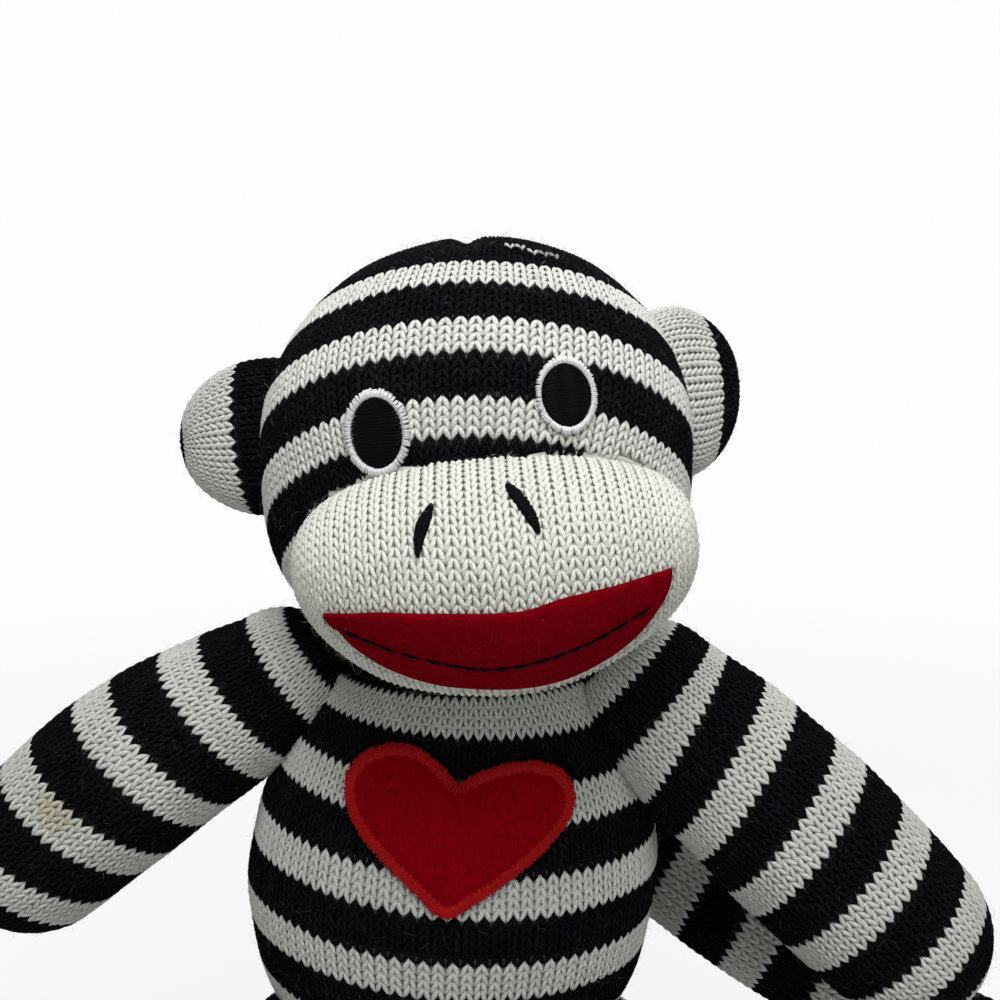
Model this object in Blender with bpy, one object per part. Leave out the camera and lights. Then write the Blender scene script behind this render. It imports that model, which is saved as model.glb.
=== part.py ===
"""Seated sock monkey doll: knitted skins over fibre stuffing, with felt and embroidery.

Metres, +Z up. The doll faces -Y and sits on Z = 0, with the origin under its body.
Right and left are the doll's own: its right side is at -X.
"""

import math

import bmesh
import bpy
from mathutils import Matrix, Vector

MM = 0.001

# Fabric and clearances
KNIT = 1.2 * MM
FELT = 0.8 * MM
CLEARANCE = 0.3 * MM
PACKING_GAP = 0.9 * MM
THREAD_RADIUS = 0.6 * MM
OVERRUN = 3.0 * MM
FLOOR_CUT = 0.5 * MM
WELD = 0.01 * MM
PROBE = 0.1 * MM

# Body
TORSO_HEIGHT = 128.5 * MM
TORSO_HALF_WIDTH = 55.6 * MM
TORSO_HALF_DEPTH = 42 * MM
TORSO_LEAN = 4.5 * MM
TORSO_SIDES = 20
# Height, half width and half depth, bottom to top
TORSO_SHARES = (
    (0.0, 0.26, 0.26), (0.03, 0.38, 0.38), (0.09, 0.56, 0.57), (0.175, 0.72, 0.73),
    (0.265, 0.84, 0.85), (0.37, 0.94, 0.94), (0.53, 1.0, 1.0), (0.675, 0.96, 0.96),
    (0.785, 0.88, 0.89), (0.875, 0.79, 0.82), (0.945, 0.68, 0.74), (0.985, 0.58, 0.67),
)

# Neck and head
NECK_RADIUS = 22 * MM
NECK_SINK = 1.5 * MM
NECK_WAIST = 6.2 * MM
COLLAR_WIDTH = 2 * MM
NECK_OPENING = 9 * MM
NECK_START = math.radians(-62)
HEAD_HALF_WIDTH = 55.2 * MM
HEAD_HALF_DEPTH = 52.5 * MM
HEAD_HALF_HEIGHT = 52 * MM
HEAD_SIDE_SHIFT = 3.7 * MM
HEAD_FORWARD = 5 * MM
HEAD_LEAN = 1.8 * MM
HEAD_CROWN_POWER = 2.0
HEAD_JOWL_POWER = 3.0
HEAD_SIDES = 20
STUFFING_SIDES = 14
HEAD_ROLL = math.radians(5)
CROWN_PITCH = math.radians(28.6)
CROWN_RING = 3.5 * MM

# Muzzle
MUZZLE_HALF_WIDTH = 45.8 * MM
MUZZLE_UP = 24.5 * MM
MUZZLE_DOWN = 30.9 * MM
MUZZLE_DEPTH = 35 * MM
MUZZLE_SINK = 9.0 * MM
MUZZLE_ROLL = math.radians(5.5)
MUZZLE_TOP_POWER = 2.4
MUZZLE_CHIN_POWER = 1.9
MUZZLE_SIDES = 18
MUZZLE_ROWS = 10
# Centre of the muzzle from the head's centre, of the head's half width and half height
MUZZLE_PLACE_SHARES = (0.086, -0.466)

# Ears
EAR_REACH = 26.5 * MM
EAR_THICKNESS = 17 * MM
EAR_SIDES = 14
EAR_ROWS = 8
EAR_DATA = {
    # Half height, then place from the head's centre, then how far it is swept back
    "right": {"half_height": 21 * MM, "place_shares": (-1.0, 0.13, 0.015), "sweep": math.radians(15)},
    "left": {"half_height": 22.8 * MM, "place_shares": (0.94, 0.13, 0.24), "sweep": math.radians(42)},
}

# Eyes
EYE_HALF_WIDTH = 7.4 * MM
EYE_HALF_HEIGHT = 9.6 * MM
EYE_RING_WIDTH = 2.6 * MM
EYE_RING_HEIGHT = 1.1 * MM
PUPIL_HEIGHT = 0.9 * MM
EYE_POINTS = 16
# Centre from the head's centre, of the head's half width and half height, then the tilt
EYE_DATA = {
    "right": {"place_shares": (-0.386, 0.084), "tilt": math.radians(2)},
    "left": {"place_shares": (0.364, 0.24), "tilt": math.radians(8)},
}

# Embroidery and felt on the muzzle, in shares of its half width and its upward half height
NOSTRIL_RADIUS = 0.9 * MM
NOSTRIL_SHARES = {
    "right": ((-0.25, 0.66), (-0.285, 0.545), (-0.305, 0.415), (-0.315, 0.27)),
    "left": ((0.10, 0.75), (0.15, 0.62), (0.19, 0.49), (0.21, 0.355)),
}
NOSTRIL_TAPER_SHARES = (0.45, 1.0, 0.9, 0.4)
MOUTH_TOP_SHARES = (
    (-0.78, -0.17), (-0.50, -0.14), (-0.24, -0.165), (0.09, -0.21), (0.29, -0.185), (0.50, -0.165),
    (0.65, -0.13), (0.80, -0.11),
)
MOUTH_CHIN_SHARES = (
    (0.77, -0.29), (0.69, -0.43), (0.60, -0.61), (0.49, -0.76), (0.36, -0.87), (0.21, -0.94),
    (0.0, -0.94), (-0.28, -0.86), (-0.50, -0.69), (-0.63, -0.50), (-0.73, -0.32),
)
MOUTH_CENTRE_SHARE = (0.0, -0.52)
SMILE_SHARES = (
    (-0.70, -0.30), (-0.57, -0.41), (-0.41, -0.53), (-0.14, -0.68), (0.0, -0.705), (0.13, -0.68),
    (0.26, -0.64), (0.39, -0.58), (0.56, -0.455), (0.72, -0.34),
)
SMILE_RADIUS = 0.55 * MM

# Heart
HEART_HALF_WIDTH = 28.5 * MM
HEART_HALF_HEIGHT = 19.5 * MM
HEART_HEIGHT_SHARE = 0.734
HEART_SIDE_SHIFT = 4.2 * MM
HEART_BORDER_WIDTH = 4.0 * MM
HEART_BORDER_HEIGHT = 0.9 * MM
HEART_SHARES = (
    (0.03, 0.66), (-0.15, 0.82), (-0.34, 0.97), (-0.58, 1.0), (-0.83, 0.85), (-0.98, 0.58),
    (-0.98, 0.25), (-0.84, -0.06), (-0.60, -0.38), (-0.32, -0.72), (-0.08, -1.0), (0.18, -0.82),
    (0.50, -0.52), (0.80, -0.20), (0.97, 0.08), (1.0, 0.36), (0.90, 0.60), (0.68, 0.72),
    (0.44, 0.72), (0.22, 0.64),
)
HEART_CENTRE_SHARE = (0.0, 0.05)

# Limbs. The reach is measured from the pivot to the tip.
LIMB_SIDES = 14
STUFFED_LIMB_SIDES = 12
OPENING_ANGLE = math.radians(30)
ROOT_ANGLES = (OPENING_ANGLE, math.radians(50), math.radians(70))
TIP_ANGLES = (math.radians(0), math.radians(30), math.radians(56), math.radians(78))
SOCKET_SIDES = 16
SOCKET_ROWS = 10
GUARD_SIDES = 24
GUARD_ROWS = 14
ARM_DATA = {
    "right": {
        "side": -1, "reach": 100 * MM, "root": 18.5 * MM, "middle": 23.3 * MM, "tip": 22.3 * MM,
        "bow": 2.6 * MM, "height_share": 0.953, "stand_off": 11.5 * MM, "fore": 2.5 * MM,
        "aim": (-0.821, -0.071, -0.567), "low": math.radians(-8),
    },
    "left": {
        "side": 1, "reach": 107 * MM, "root": 20.4 * MM, "middle": 24.0 * MM, "tip": 22.7 * MM,
        "bow": 1.0 * MM, "height_share": 0.923, "stand_off": 10.4 * MM, "fore": 8.0 * MM,
        "aim": (0.727, -0.166, -0.666), "low": math.radians(-6),
    },
}
LEG_DATA = {
    "right": {
        "side": -1, "reach": 152 * MM, "root": 20.5 * MM, "middle": 20.5 * MM, "tip": 22.0 * MM, "bow": 0 * MM,
        "out": 36 * MM, "fore": 13 * MM, "aim": (-0.36, -0.933), "high": math.radians(12), "low": math.radians(-75),
    },
    "left": {
        "side": 1, "reach": 152 * MM, "root": 20.5 * MM, "middle": 20.5 * MM, "tip": 22.0 * MM, "bow": 0 * MM,
        "out": 36 * MM, "fore": 16 * MM, "aim": (0.31, -0.951), "high": math.radians(12), "low": math.radians(-75),
    },
}
TAIL_ROOT = 13.0 * MM
TAIL_MIDDLE = 15.0 * MM
TAIL_TIP = 14.0 * MM
TAIL_STEPS = 2
TAIL_SIDES = 10
# The tail's run from its pivot: back, round to the doll's left, and down to the floor
TAIL_RUN = (
    (10 * MM, 49 * MM, 62 * MM), (22 * MM, 61 * MM, 62 * MM), (42 * MM, 57 * MM, 59 * MM),
    (60 * MM, 43 * MM, 52.5 * MM), (80 * MM, 31 * MM, 42 * MM), (101 * MM, 22 * MM, 31 * MM),
    (122 * MM, 14 * MM, 21 * MM), (143 * MM, 4 * MM, 15.2 * MM), (161 * MM, -10 * MM, 14.2 * MM),
)

# Materials: colour, roughness
COLOURS = {
    "knit": ((0.80, 0.82, 0.78), 0.95),
    "plain_knit": ((0.86, 0.87, 0.82), 0.95),
    "stuffing": ((0.92, 0.92, 0.90), 1.0),
    "red_felt": ((0.45, 0.01, 0.03), 0.95),
    "red_satin": ((0.60, 0.04, 0.05), 0.6),
    "black_satin": ((0.02, 0.02, 0.025), 0.55),
    "white_satin": ((0.80, 0.80, 0.78), 0.6),
    "seam_thread": ((0.75, 0.75, 0.72), 0.8),
}

DOLL = "sock_monkey"
GUIDES = "cutters"


def start_scene():
    for item in list(bpy.data.objects):
        bpy.data.objects.remove(item, do_unlink=True)
    for name in (DOLL, GUIDES):
        group = bpy.data.collections.new(name)
        bpy.context.scene.collection.children.link(group)


def material(name):
    found = bpy.data.materials.get(name)
    if found:
        return found
    colour, roughness = COLOURS[name]
    made = bpy.data.materials.new(name)
    made.use_nodes = True
    shader = made.node_tree.nodes["Principled BSDF"]
    shader.inputs["Base Color"].default_value = (*colour, 1.0)
    shader.inputs["Roughness"].default_value = roughness
    shader.inputs["Metallic"].default_value = 0.0
    return made


def place(mesh, name, finish=None, pivot=None):
    """Put a mesh in the scene: a piece of the doll, or a cutter where no finish is given."""
    item = bpy.data.objects.new(name, mesh)
    group = DOLL if finish else GUIDES
    bpy.data.collections[group].objects.link(item)
    if finish:
        mesh.materials.clear()
        mesh.materials.append(material(finish))
        mesh.shade_smooth()
    else:
        item.hide_render = True
        item.display_type = "WIRE"
    if pivot:
        item.parent = pivot
        item.matrix_parent_inverse = Matrix.Translation(-pivot.location)
    return item


def pivot_at(name, point):
    item = bpy.data.objects.new(name, None)
    item.location = point
    bpy.data.collections[DOLL].objects.link(item)
    return item


def combine(item, other, operation="DIFFERENCE"):
    step = item.modifiers.new(other.name, "BOOLEAN")
    step.operation = operation
    step.object = other
    return item


def mesh_of(bm, name):
    mesh = bpy.data.meshes.new(name)
    bm.to_mesh(mesh)
    bm.free()
    return mesh


def loft(name, rings):
    """Closed surface over rings stacked upwards, each ring counterclockwise from above."""
    bm = bmesh.new()
    rows = [[bm.verts.new(point) for point in ring] for ring in rings]
    for low, high in zip(rows, rows[1:]):
        for i in range(len(low)):
            j = (i + 1) % len(low)
            bm.faces.new((low[i], low[j], high[j], high[i]))
    bm.faces.new(list(reversed(rows[0])))
    bm.faces.new(rows[-1])
    return mesh_of(bm, name)


def level_ring(centre, half_x, half_y, count):
    turn = 2 * math.pi / count
    return [
        Vector((centre[0] + half_x * math.cos(i * turn), centre[1] + half_y * math.sin(i * turn), centre[2]))
        for i in range(count)
    ]


def sphere(name, centre, radius, sides, rows):
    bm = bmesh.new()
    bmesh.ops.create_uvsphere(bm, u_segments=sides, v_segments=rows, radius=radius)
    bmesh.ops.translate(bm, vec=centre, verts=bm.verts)
    return mesh_of(bm, name)


def socket(name, centre, radius, room, sides=SOCKET_SIDES, rows=SOCKET_ROWS):
    """A ball cutter whose flats, too, stay clear of a turning ball of this radius."""
    flats = math.cos(math.pi / sides) * math.cos(math.pi / (2 * rows))
    return place(sphere(name, centre, (radius + room) / flats, sides, rows), name)


def tube(name, points, radii, sides, cyclic=False):
    """A mesh tube along points, with its own radius at each."""
    curve = bpy.data.curves.new(name, "CURVE")
    curve.dimensions = "3D"
    widest = max(radii)
    curve.bevel_depth = widest
    curve.bevel_resolution = sides // 2 - 2
    curve.use_fill_caps = not cyclic
    spline = curve.splines.new("POLY")
    spline.points.add(len(points) - 1)
    spline.use_cyclic_u = cyclic
    for spot, point, radius in zip(spline.points, points, radii):
        spot.co = (*point, 1.0)
        spot.radius = radius / widest
    holder = bpy.data.objects.new(name, curve)
    bpy.context.scene.collection.objects.link(holder)
    bpy.context.view_layer.update()
    mesh = bpy.data.meshes.new_from_object(holder.evaluated_get(bpy.context.evaluated_depsgraph_get()))
    bpy.data.objects.remove(holder, do_unlink=True)
    bm = bmesh.new()
    bm.from_mesh(mesh)
    bmesh.ops.remove_doubles(bm, verts=bm.verts, dist=WELD)
    bm.to_mesh(mesh)
    bm.free()
    mesh.name = name
    return mesh


def smooth_run(points, steps):
    """A Catmull-Rom run through the points, with this many steps between neighbours."""
    spots = [Vector(point) for point in points]
    ends = [2 * spots[0] - spots[1], *spots, 2 * spots[-1] - spots[-2]]
    run = []
    for a, b, c, d in zip(ends, ends[1:], ends[2:], ends[3:]):
        for i in range(steps):
            t = i / steps
            run.append(
                0.5 * ((2 * b) + (c - a) * t + (2 * a - 5 * b + 4 * c - d) * t * t
                       + (3 * b - a - 3 * c + d) * t * t * t)
            )
    run.append(spots[-1])
    return run


def share_between(table, height, column):
    """Straight-line reading of a table of shares at a height share."""
    for low, high in zip(table, table[1:]):
        if height <= high[0]:
            t = max(0.0, (height - low[0]) / (high[0] - low[0]))
            return low[column] + (high[column] - low[column]) * t
    return table[-1][column]


# Places of the main joints
NECK_PIVOT = Vector((TORSO_LEAN, 0, TORSO_HEIGHT - NECK_SINK))
HEAD_CENTRE = NECK_PIVOT + Vector((HEAD_SIDE_SHIFT, -HEAD_FORWARD, NECK_WAIST + HEAD_HALF_HEIGHT))
COLLAR_RADIUS = NECK_RADIUS + COLLAR_WIDTH


# Body

def torso_section(height):
    """Centre X, half width and half depth of the body at a height."""
    share = height / TORSO_HEIGHT
    half_x = TORSO_HALF_WIDTH * share_between(TORSO_SHARES, share, 1)
    half_y = TORSO_HALF_DEPTH * share_between(TORSO_SHARES, share, 2)
    return TORSO_LEAN * share * share, half_x, half_y


def torso_front(x, z):
    """Y of the body's front at a place seen from in front."""
    centre, half_x, half_y = torso_section(z)
    return -half_y * math.sqrt(max(0.0, 1 - ((x - centre) / half_x) ** 2))


def torso_mesh(name, grow, sides=TORSO_SIDES):
    """The body's closed form, grown or shrunk by a distance."""
    rings = []
    for height_share, _, _ in TORSO_SHARES:
        height = TORSO_HEIGHT * height_share
        centre, half_x, half_y = torso_section(height)
        if height_share == 0:
            height = -FLOOR_CUT - grow
        rings.append(level_ring((centre, 0, height), half_x + grow, half_y + grow, sides))
    top = (NECK_PIVOT.x, 0, TORSO_HEIGHT + grow)
    rings.append(level_ring(top, COLLAR_RADIUS + grow, COLLAR_RADIUS + grow, sides))
    return loft(name, rings)


def floor_cutter():
    """A block under the floor, which trims flat what the doll sits on."""
    half = LEG_DATA["right"]["reach"] * 2
    bm = bmesh.new()
    bmesh.ops.create_cube(bm, size=1.0)
    bmesh.ops.scale(bm, vec=(half * 2, half * 2, half), verts=bm.verts)
    bmesh.ops.translate(bm, vec=(0, 0, -half / 2), verts=bm.verts)
    return place(mesh_of(bm, "cutter_floor"), "cutter_floor")


def build_torso(floor, limb_balls):
    skin = place(torso_mesh("torso_skin", 0), "torso_skin", "knit")
    combine(skin, place(torso_mesh("cutter_torso_inside", -KNIT), "cutter_torso_inside"))
    stuffing = place(torso_mesh("torso_stuffing", -KNIT - PACKING_GAP, STUFFING_SIDES),
                     "torso_stuffing", "stuffing")
    neck = socket("cutter_neck", NECK_PIVOT, NECK_RADIUS, CLEARANCE)
    deep_neck = socket("cutter_neck_deep", NECK_PIVOT, NECK_RADIUS, 2 * CLEARANCE)
    combine(skin, neck)
    combine(stuffing, deep_neck)
    for name, centre, radius in limb_balls:
        combine(skin, socket("cutter_" + name, centre, radius, CLEARANCE))
        combine(stuffing, socket("cutter_deep_" + name, centre, radius, 2 * CLEARANCE))
    combine(skin, floor)


# Head

def head_share(height, grow):
    """Share of its full width and depth that the head has at a height."""
    up = (height - HEAD_CENTRE.z) / (HEAD_HALF_HEIGHT + grow)
    power = HEAD_JOWL_POWER if up < 0 else HEAD_CROWN_POWER
    return max(0.0, 1 - abs(up) ** power) ** (1 / power)


def waist_height(grow):
    """Height over the neck pivot at which the neck ball meets the head."""
    ball = NECK_RADIUS + grow
    low, high = 0.0, ball
    for _ in range(40):
        rise = (low + high) / 2
        head = (HEAD_HALF_DEPTH + grow) * head_share(NECK_PIVOT.z + rise, grow)
        if math.sqrt(max(0.0, ball * ball - rise * rise)) > head:
            low = rise
        else:
            high = rise
    return low


def head_mesh(name, grow, opening=0, sides=HEAD_SIDES):
    """Neck ball and head in one closed form; an opening runs out of its bottom."""
    ball = NECK_RADIUS + grow
    rise = waist_height(grow)
    rings = []
    if opening:
        bottom = NECK_PIVOT.z + NECK_RADIUS * math.sin(NECK_START) - OVERRUN
        rings.append(level_ring((NECK_PIVOT.x, NECK_PIVOT.y, bottom), opening, opening, sides))
    waist = math.asin(rise / ball)
    count = 5
    for i in range(count):
        angle = NECK_START + (waist - NECK_START) * i / (count - 1)
        centre = (NECK_PIVOT.x, NECK_PIVOT.y, NECK_PIVOT.z + ball * math.sin(angle))
        radius = ball * math.cos(angle)
        rings.append(level_ring(centre, radius, radius, sides))
    half_height = HEAD_HALF_HEIGHT + grow
    first = math.acos((HEAD_CENTRE.z - NECK_PIVOT.z - rise) / half_height)
    last = math.radians(173)
    steps = 9
    for i in range(1, steps + 1):
        angle = first + (last - first) * i / steps
        height = HEAD_CENTRE.z - half_height * math.cos(angle)
        share = head_share(height, grow)
        rings.append(level_ring(
            (head_middle(height), HEAD_CENTRE.y, height), (HEAD_HALF_WIDTH + grow) * share,
            (HEAD_HALF_DEPTH + grow) * share, sides))
    return loft(name, rings)


def head_middle(z):
    """Centre X of the head at a height: its crown leans a little to the doll's left."""
    return HEAD_CENTRE.x + HEAD_LEAN * max(0.0, (z - HEAD_CENTRE.z) / HEAD_HALF_HEIGHT) ** 2


def head_front(x, z):
    across = (x - head_middle(z)) / HEAD_HALF_WIDTH
    return HEAD_CENTRE.y - HEAD_HALF_DEPTH * math.sqrt(max(0.0, head_share(z, 0) ** 2 - across * across))


def build_head(pivot):
    skin = place(head_mesh("head_skin", 0), "head_skin", "knit", pivot)
    combine(skin, place(head_mesh("cutter_head_inside", -KNIT, NECK_OPENING), "cutter_head_inside"))
    packed = head_mesh("head_stuffing", -KNIT - PACKING_GAP, sides=STUFFING_SIDES)
    place(packed, "head_stuffing", "stuffing", pivot)


def build_crown_thread(pivot):
    """The drawn thread lies in a small ring on the crown, where the knit is gathered."""
    axis = Vector((0, math.sin(CROWN_PITCH), math.cos(CROWN_PITCH)))
    side = axis.orthogonal().normalized()
    other = axis.cross(side)
    lift = CLEARANCE + THREAD_RADIUS
    count = 14
    points = []
    for i in range(count):
        angle = 2 * math.pi * i / count
        toward = axis * HEAD_HALF_HEIGHT + (side * math.cos(angle) + other * math.sin(angle)) * CROWN_RING
        points.append(on_head(toward.normalized(), lift))
    mesh = tube("crown_thread", points, [THREAD_RADIUS] * count, 6, cyclic=True)
    place(mesh, "crown_thread", "seam_thread", pivot)


def on_head(toward, lift):
    """The point on the head in this direction from its centre, lifted off the surface."""
    reach = 1 / math.sqrt((toward.x / HEAD_HALF_WIDTH) ** 2 + (toward.y / HEAD_HALF_DEPTH) ** 2
                          + (toward.z / HEAD_HALF_HEIGHT) ** 2)
    point = HEAD_CENTRE + toward * (reach + lift)
    point.x += head_middle(point.z) - HEAD_CENTRE.x
    return point


# Muzzle

def muzzle_centre():
    x = HEAD_CENTRE.x + MUZZLE_PLACE_SHARES[0] * HEAD_HALF_WIDTH
    z = HEAD_CENTRE.z + MUZZLE_PLACE_SHARES[1] * HEAD_HALF_HEIGHT
    return Vector((x, head_front(x, z) + MUZZLE_SINK, z))


def muzzle_reach(angle, grow):
    """Distance from the muzzle's centre to its outline, seen from in front."""
    up = math.sin(angle) > 0
    power = MUZZLE_TOP_POWER if up else MUZZLE_CHIN_POWER
    tall = (MUZZLE_UP if up else MUZZLE_DOWN) + grow
    across = abs(math.cos(angle)) / (MUZZLE_HALF_WIDTH + grow)
    rise = abs(math.sin(angle)) / tall
    return (across ** power + rise ** power) ** (-1 / power)


def muzzle_mesh(name, grow):
    """A ball with poles fore and aft, drawn out to the muzzle's outline."""
    bm = bmesh.new()
    bmesh.ops.create_uvsphere(bm, u_segments=MUZZLE_SIDES, v_segments=MUZZLE_ROWS, radius=1.0)
    bmesh.ops.rotate(bm, cent=(0, 0, 0), matrix=Matrix.Rotation(math.radians(90), 3, "X"), verts=bm.verts)
    centre = muzzle_centre()
    for vert in bm.verts:
        angle = math.atan2(vert.co.z, vert.co.x)
        out = math.hypot(vert.co.x, vert.co.z) * muzzle_reach(angle, grow)
        turned = angle + MUZZLE_ROLL
        fore = vert.co.y * (MUZZLE_DEPTH + grow)
        vert.co = centre + Vector((out * math.cos(turned), fore, out * math.sin(turned)))
    return mesh_of(bm, name)


def muzzle_front(x, z):
    centre = muzzle_centre()
    angle = math.atan2(z - centre.z, x - centre.x) - MUZZLE_ROLL
    share = math.hypot(x - centre.x, z - centre.z) / muzzle_reach(angle, 0)
    return centre.y - MUZZLE_DEPTH * math.sqrt(max(0.0, 1 - share * share))


def on_muzzle_plan(share):
    """Front-view place of a share pair on the muzzle."""
    centre = muzzle_centre()
    across = share[0] * MUZZLE_HALF_WIDTH
    up = share[1] * MUZZLE_UP
    return (centre.x + across * math.cos(MUZZLE_ROLL) - up * math.sin(MUZZLE_ROLL),
            centre.z + across * math.sin(MUZZLE_ROLL) + up * math.cos(MUZZLE_ROLL))


def build_muzzle(pivot):
    skin = place(muzzle_mesh("muzzle_skin", 0), "muzzle_skin", "plain_knit", pivot)
    combine(skin, place(muzzle_mesh("cutter_muzzle_inside", -KNIT), "cutter_muzzle_inside"))
    combine(skin, place(head_mesh("cutter_head_near", CLEARANCE), "cutter_head_near"))
    stuffing = place(muzzle_mesh("muzzle_stuffing", -KNIT - CLEARANCE), "muzzle_stuffing", "stuffing", pivot)
    combine(stuffing, place(head_mesh("cutter_head_wide", 2 * CLEARANCE), "cutter_head_wide"))


# Flat pieces sewn on a bulging front

def lifted(front, x, z, lift):
    """A point of a front surface, lifted along the surface's own normal."""
    slope_x = (front(x + PROBE, z) - front(x - PROBE, z)) / (2 * PROBE)
    slope_z = (front(x, z + PROBE) - front(x, z - PROBE)) / (2 * PROBE)
    normal = Vector((slope_x, -1, slope_z)).normalized()
    return Vector((x, front(x, z), z)) + normal * lift


def patch(name, front, outline, centre, low, high, ring_shares):
    """A closed sheet that follows a front surface between two lifts."""
    bm = bmesh.new()

    def layer(lift):
        rows = []
        for share in ring_shares:
            spots = [(centre[0] + (x - centre[0]) * share, centre[1] + (z - centre[1]) * share)
                     for x, z in outline]
            rows.append([bm.verts.new(lifted(front, x, z, lift)) for x, z in spots])
        middle = bm.verts.new(lifted(front, centre[0], centre[1], lift))
        return rows, middle

    count = len(outline)
    under, under_middle = layer(low)
    over, over_middle = layer(high)
    for i in range(count):
        j = (i + 1) % count
        for a, b in zip(over, over[1:]):
            bm.faces.new((a[i], a[j], b[j], b[i]))
        for a, b in zip(under, under[1:]):
            bm.faces.new((a[j], a[i], b[i], b[j]))
        bm.faces.new((over[-1][i], over[-1][j], over_middle))
        bm.faces.new((under[-1][j], under[-1][i], under_middle))
        bm.faces.new((under[0][i], under[0][j], over[0][j], over[0][i]))
    bmesh.ops.recalc_face_normals(bm, faces=bm.faces)
    return mesh_of(bm, name)


def border(name, front, outline, centre, width, low, height):
    """A satin-stitch cord, flat under and domed over, that follows an outline."""
    bm = bmesh.new()
    loops = []
    for x, z in outline:
        out = Vector((x - centre[0], z - centre[1])).normalized()
        profile = []
        for step in range(6):
            angle = math.pi * step / 5
            across = width / 2 * (1 - math.cos(angle))
            profile.append((across, low + height * math.sin(angle)))
        loops.append([
            bm.verts.new(lifted(front, x - out.x * across, z - out.y * across, lift))
            for across, lift in profile
        ])
    count = len(loops)
    for i in range(count):
        a, b = loops[i], loops[(i + 1) % count]
        for j in range(len(a)):
            k = (j + 1) % len(a)
            bm.faces.new((a[j], b[j], b[k], a[k]))
    bmesh.ops.recalc_face_normals(bm, faces=bm.faces)
    return mesh_of(bm, name)


def surface_thread(name, front, plan, lift, radii, finish, pivot):
    points = [lifted(front, x, z, lift + radius) for (x, z), radius in zip(plan, radii)]
    return place(tube(name, points, radii, 6), name, finish, pivot)


def build_eyes(pivot):
    for side, data in EYE_DATA.items():
        centre = (HEAD_CENTRE.x + data["place_shares"][0] * HEAD_HALF_WIDTH,
                  HEAD_CENTRE.z + data["place_shares"][1] * HEAD_HALF_HEIGHT)

        def oval(half_x, half_z):
            spots = []
            for i in range(EYE_POINTS):
                angle = 2 * math.pi * i / EYE_POINTS
                across, up = half_x * math.cos(angle), half_z * math.sin(angle)
                spots.append((centre[0] + across * math.cos(data["tilt"]) - up * math.sin(data["tilt"]),
                              centre[1] + across * math.sin(data["tilt"]) + up * math.cos(data["tilt"])))
            return spots

        ring = border("eye_ring_" + side, head_front, oval(EYE_HALF_WIDTH, EYE_HALF_HEIGHT), centre,
                      EYE_RING_WIDTH, CLEARANCE, EYE_RING_HEIGHT)
        place(ring, "eye_ring_" + side, "white_satin", pivot)
        inside = EYE_RING_WIDTH + CLEARANCE
        pupil = patch("eye_pupil_" + side, head_front, oval(EYE_HALF_WIDTH - inside, EYE_HALF_HEIGHT - inside),
                      centre, CLEARANCE, CLEARANCE + PUPIL_HEIGHT, (1.0, 0.55))
        place(pupil, "eye_pupil_" + side, "black_satin", pivot)


def build_mouth(pivot):
    top = [on_muzzle_plan(share) for share in MOUTH_TOP_SHARES]
    chin = [on_muzzle_plan(share) for share in MOUTH_CHIN_SHARES]
    centre = on_muzzle_plan(MOUTH_CENTRE_SHARE)
    lift = 2 * CLEARANCE
    felt = patch("mouth_felt", muzzle_front, top + chin, centre, lift, lift + FELT, (1.0, 0.78, 0.55, 0.3))
    place(felt, "mouth_felt", "red_felt", pivot)
    plan = [on_muzzle_plan(share) for share in SMILE_SHARES]
    surface_thread("mouth_stitch", muzzle_front, plan, lift + FELT + lift,
                   [SMILE_RADIUS] * len(plan), "black_satin", pivot)


def build_nostrils(pivot):
    for side, shares in NOSTRIL_SHARES.items():
        plan = [on_muzzle_plan(share) for share in shares]
        radii = [NOSTRIL_RADIUS * share for share in NOSTRIL_TAPER_SHARES]
        surface_thread("nostril_" + side, muzzle_front, plan, CLEARANCE, radii, "black_satin", pivot)


def build_heart():
    middle = (HEART_SIDE_SHIFT, TORSO_HEIGHT * HEART_HEIGHT_SHARE)
    outline = [(middle[0] + x * HEART_HALF_WIDTH, middle[1] + z * HEART_HALF_HEIGHT)
               for x, z in HEART_SHARES]
    centre = (middle[0] + HEART_CENTRE_SHARE[0] * HEART_HALF_WIDTH,
              middle[1] + HEART_CENTRE_SHARE[1] * HEART_HALF_HEIGHT)
    lift = 2 * CLEARANCE
    felt = patch("heart_felt", torso_front, outline, centre, lift, lift + FELT, (1.0, 0.78, 0.5, 0.25))
    place(felt, "heart_felt", "red_felt")
    ring = border("heart_border", torso_front, outline, centre, HEART_BORDER_WIDTH,
                  lift + FELT + lift, HEART_BORDER_HEIGHT)
    place(ring, "heart_border", "red_satin")


# Ears

def ear_mesh(name, side, grow):
    data = EAR_DATA[side]
    bm = bmesh.new()
    bmesh.ops.create_uvsphere(bm, u_segments=EAR_SIDES, v_segments=EAR_ROWS, radius=1.0)
    size = Vector((EAR_REACH + grow, EAR_THICKNESS / 2 + grow, data["half_height"] + grow))
    bmesh.ops.scale(bm, vec=size, verts=bm.verts)
    sign = math.copysign(1, data["place_shares"][0])
    sweep = Matrix.Rotation(sign * data["sweep"], 3, "Z")
    roll = Matrix.Rotation(-HEAD_ROLL, 3, "Y")
    bmesh.ops.rotate(bm, cent=(0, 0, 0), matrix=roll @ sweep, verts=bm.verts)
    across, back, up = data["place_shares"]
    offset = Vector((across * HEAD_HALF_WIDTH, back * HEAD_HALF_DEPTH, up * HEAD_HALF_HEIGHT))
    bmesh.ops.translate(bm, vec=HEAD_CENTRE + offset, verts=bm.verts)
    return mesh_of(bm, name)


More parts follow.
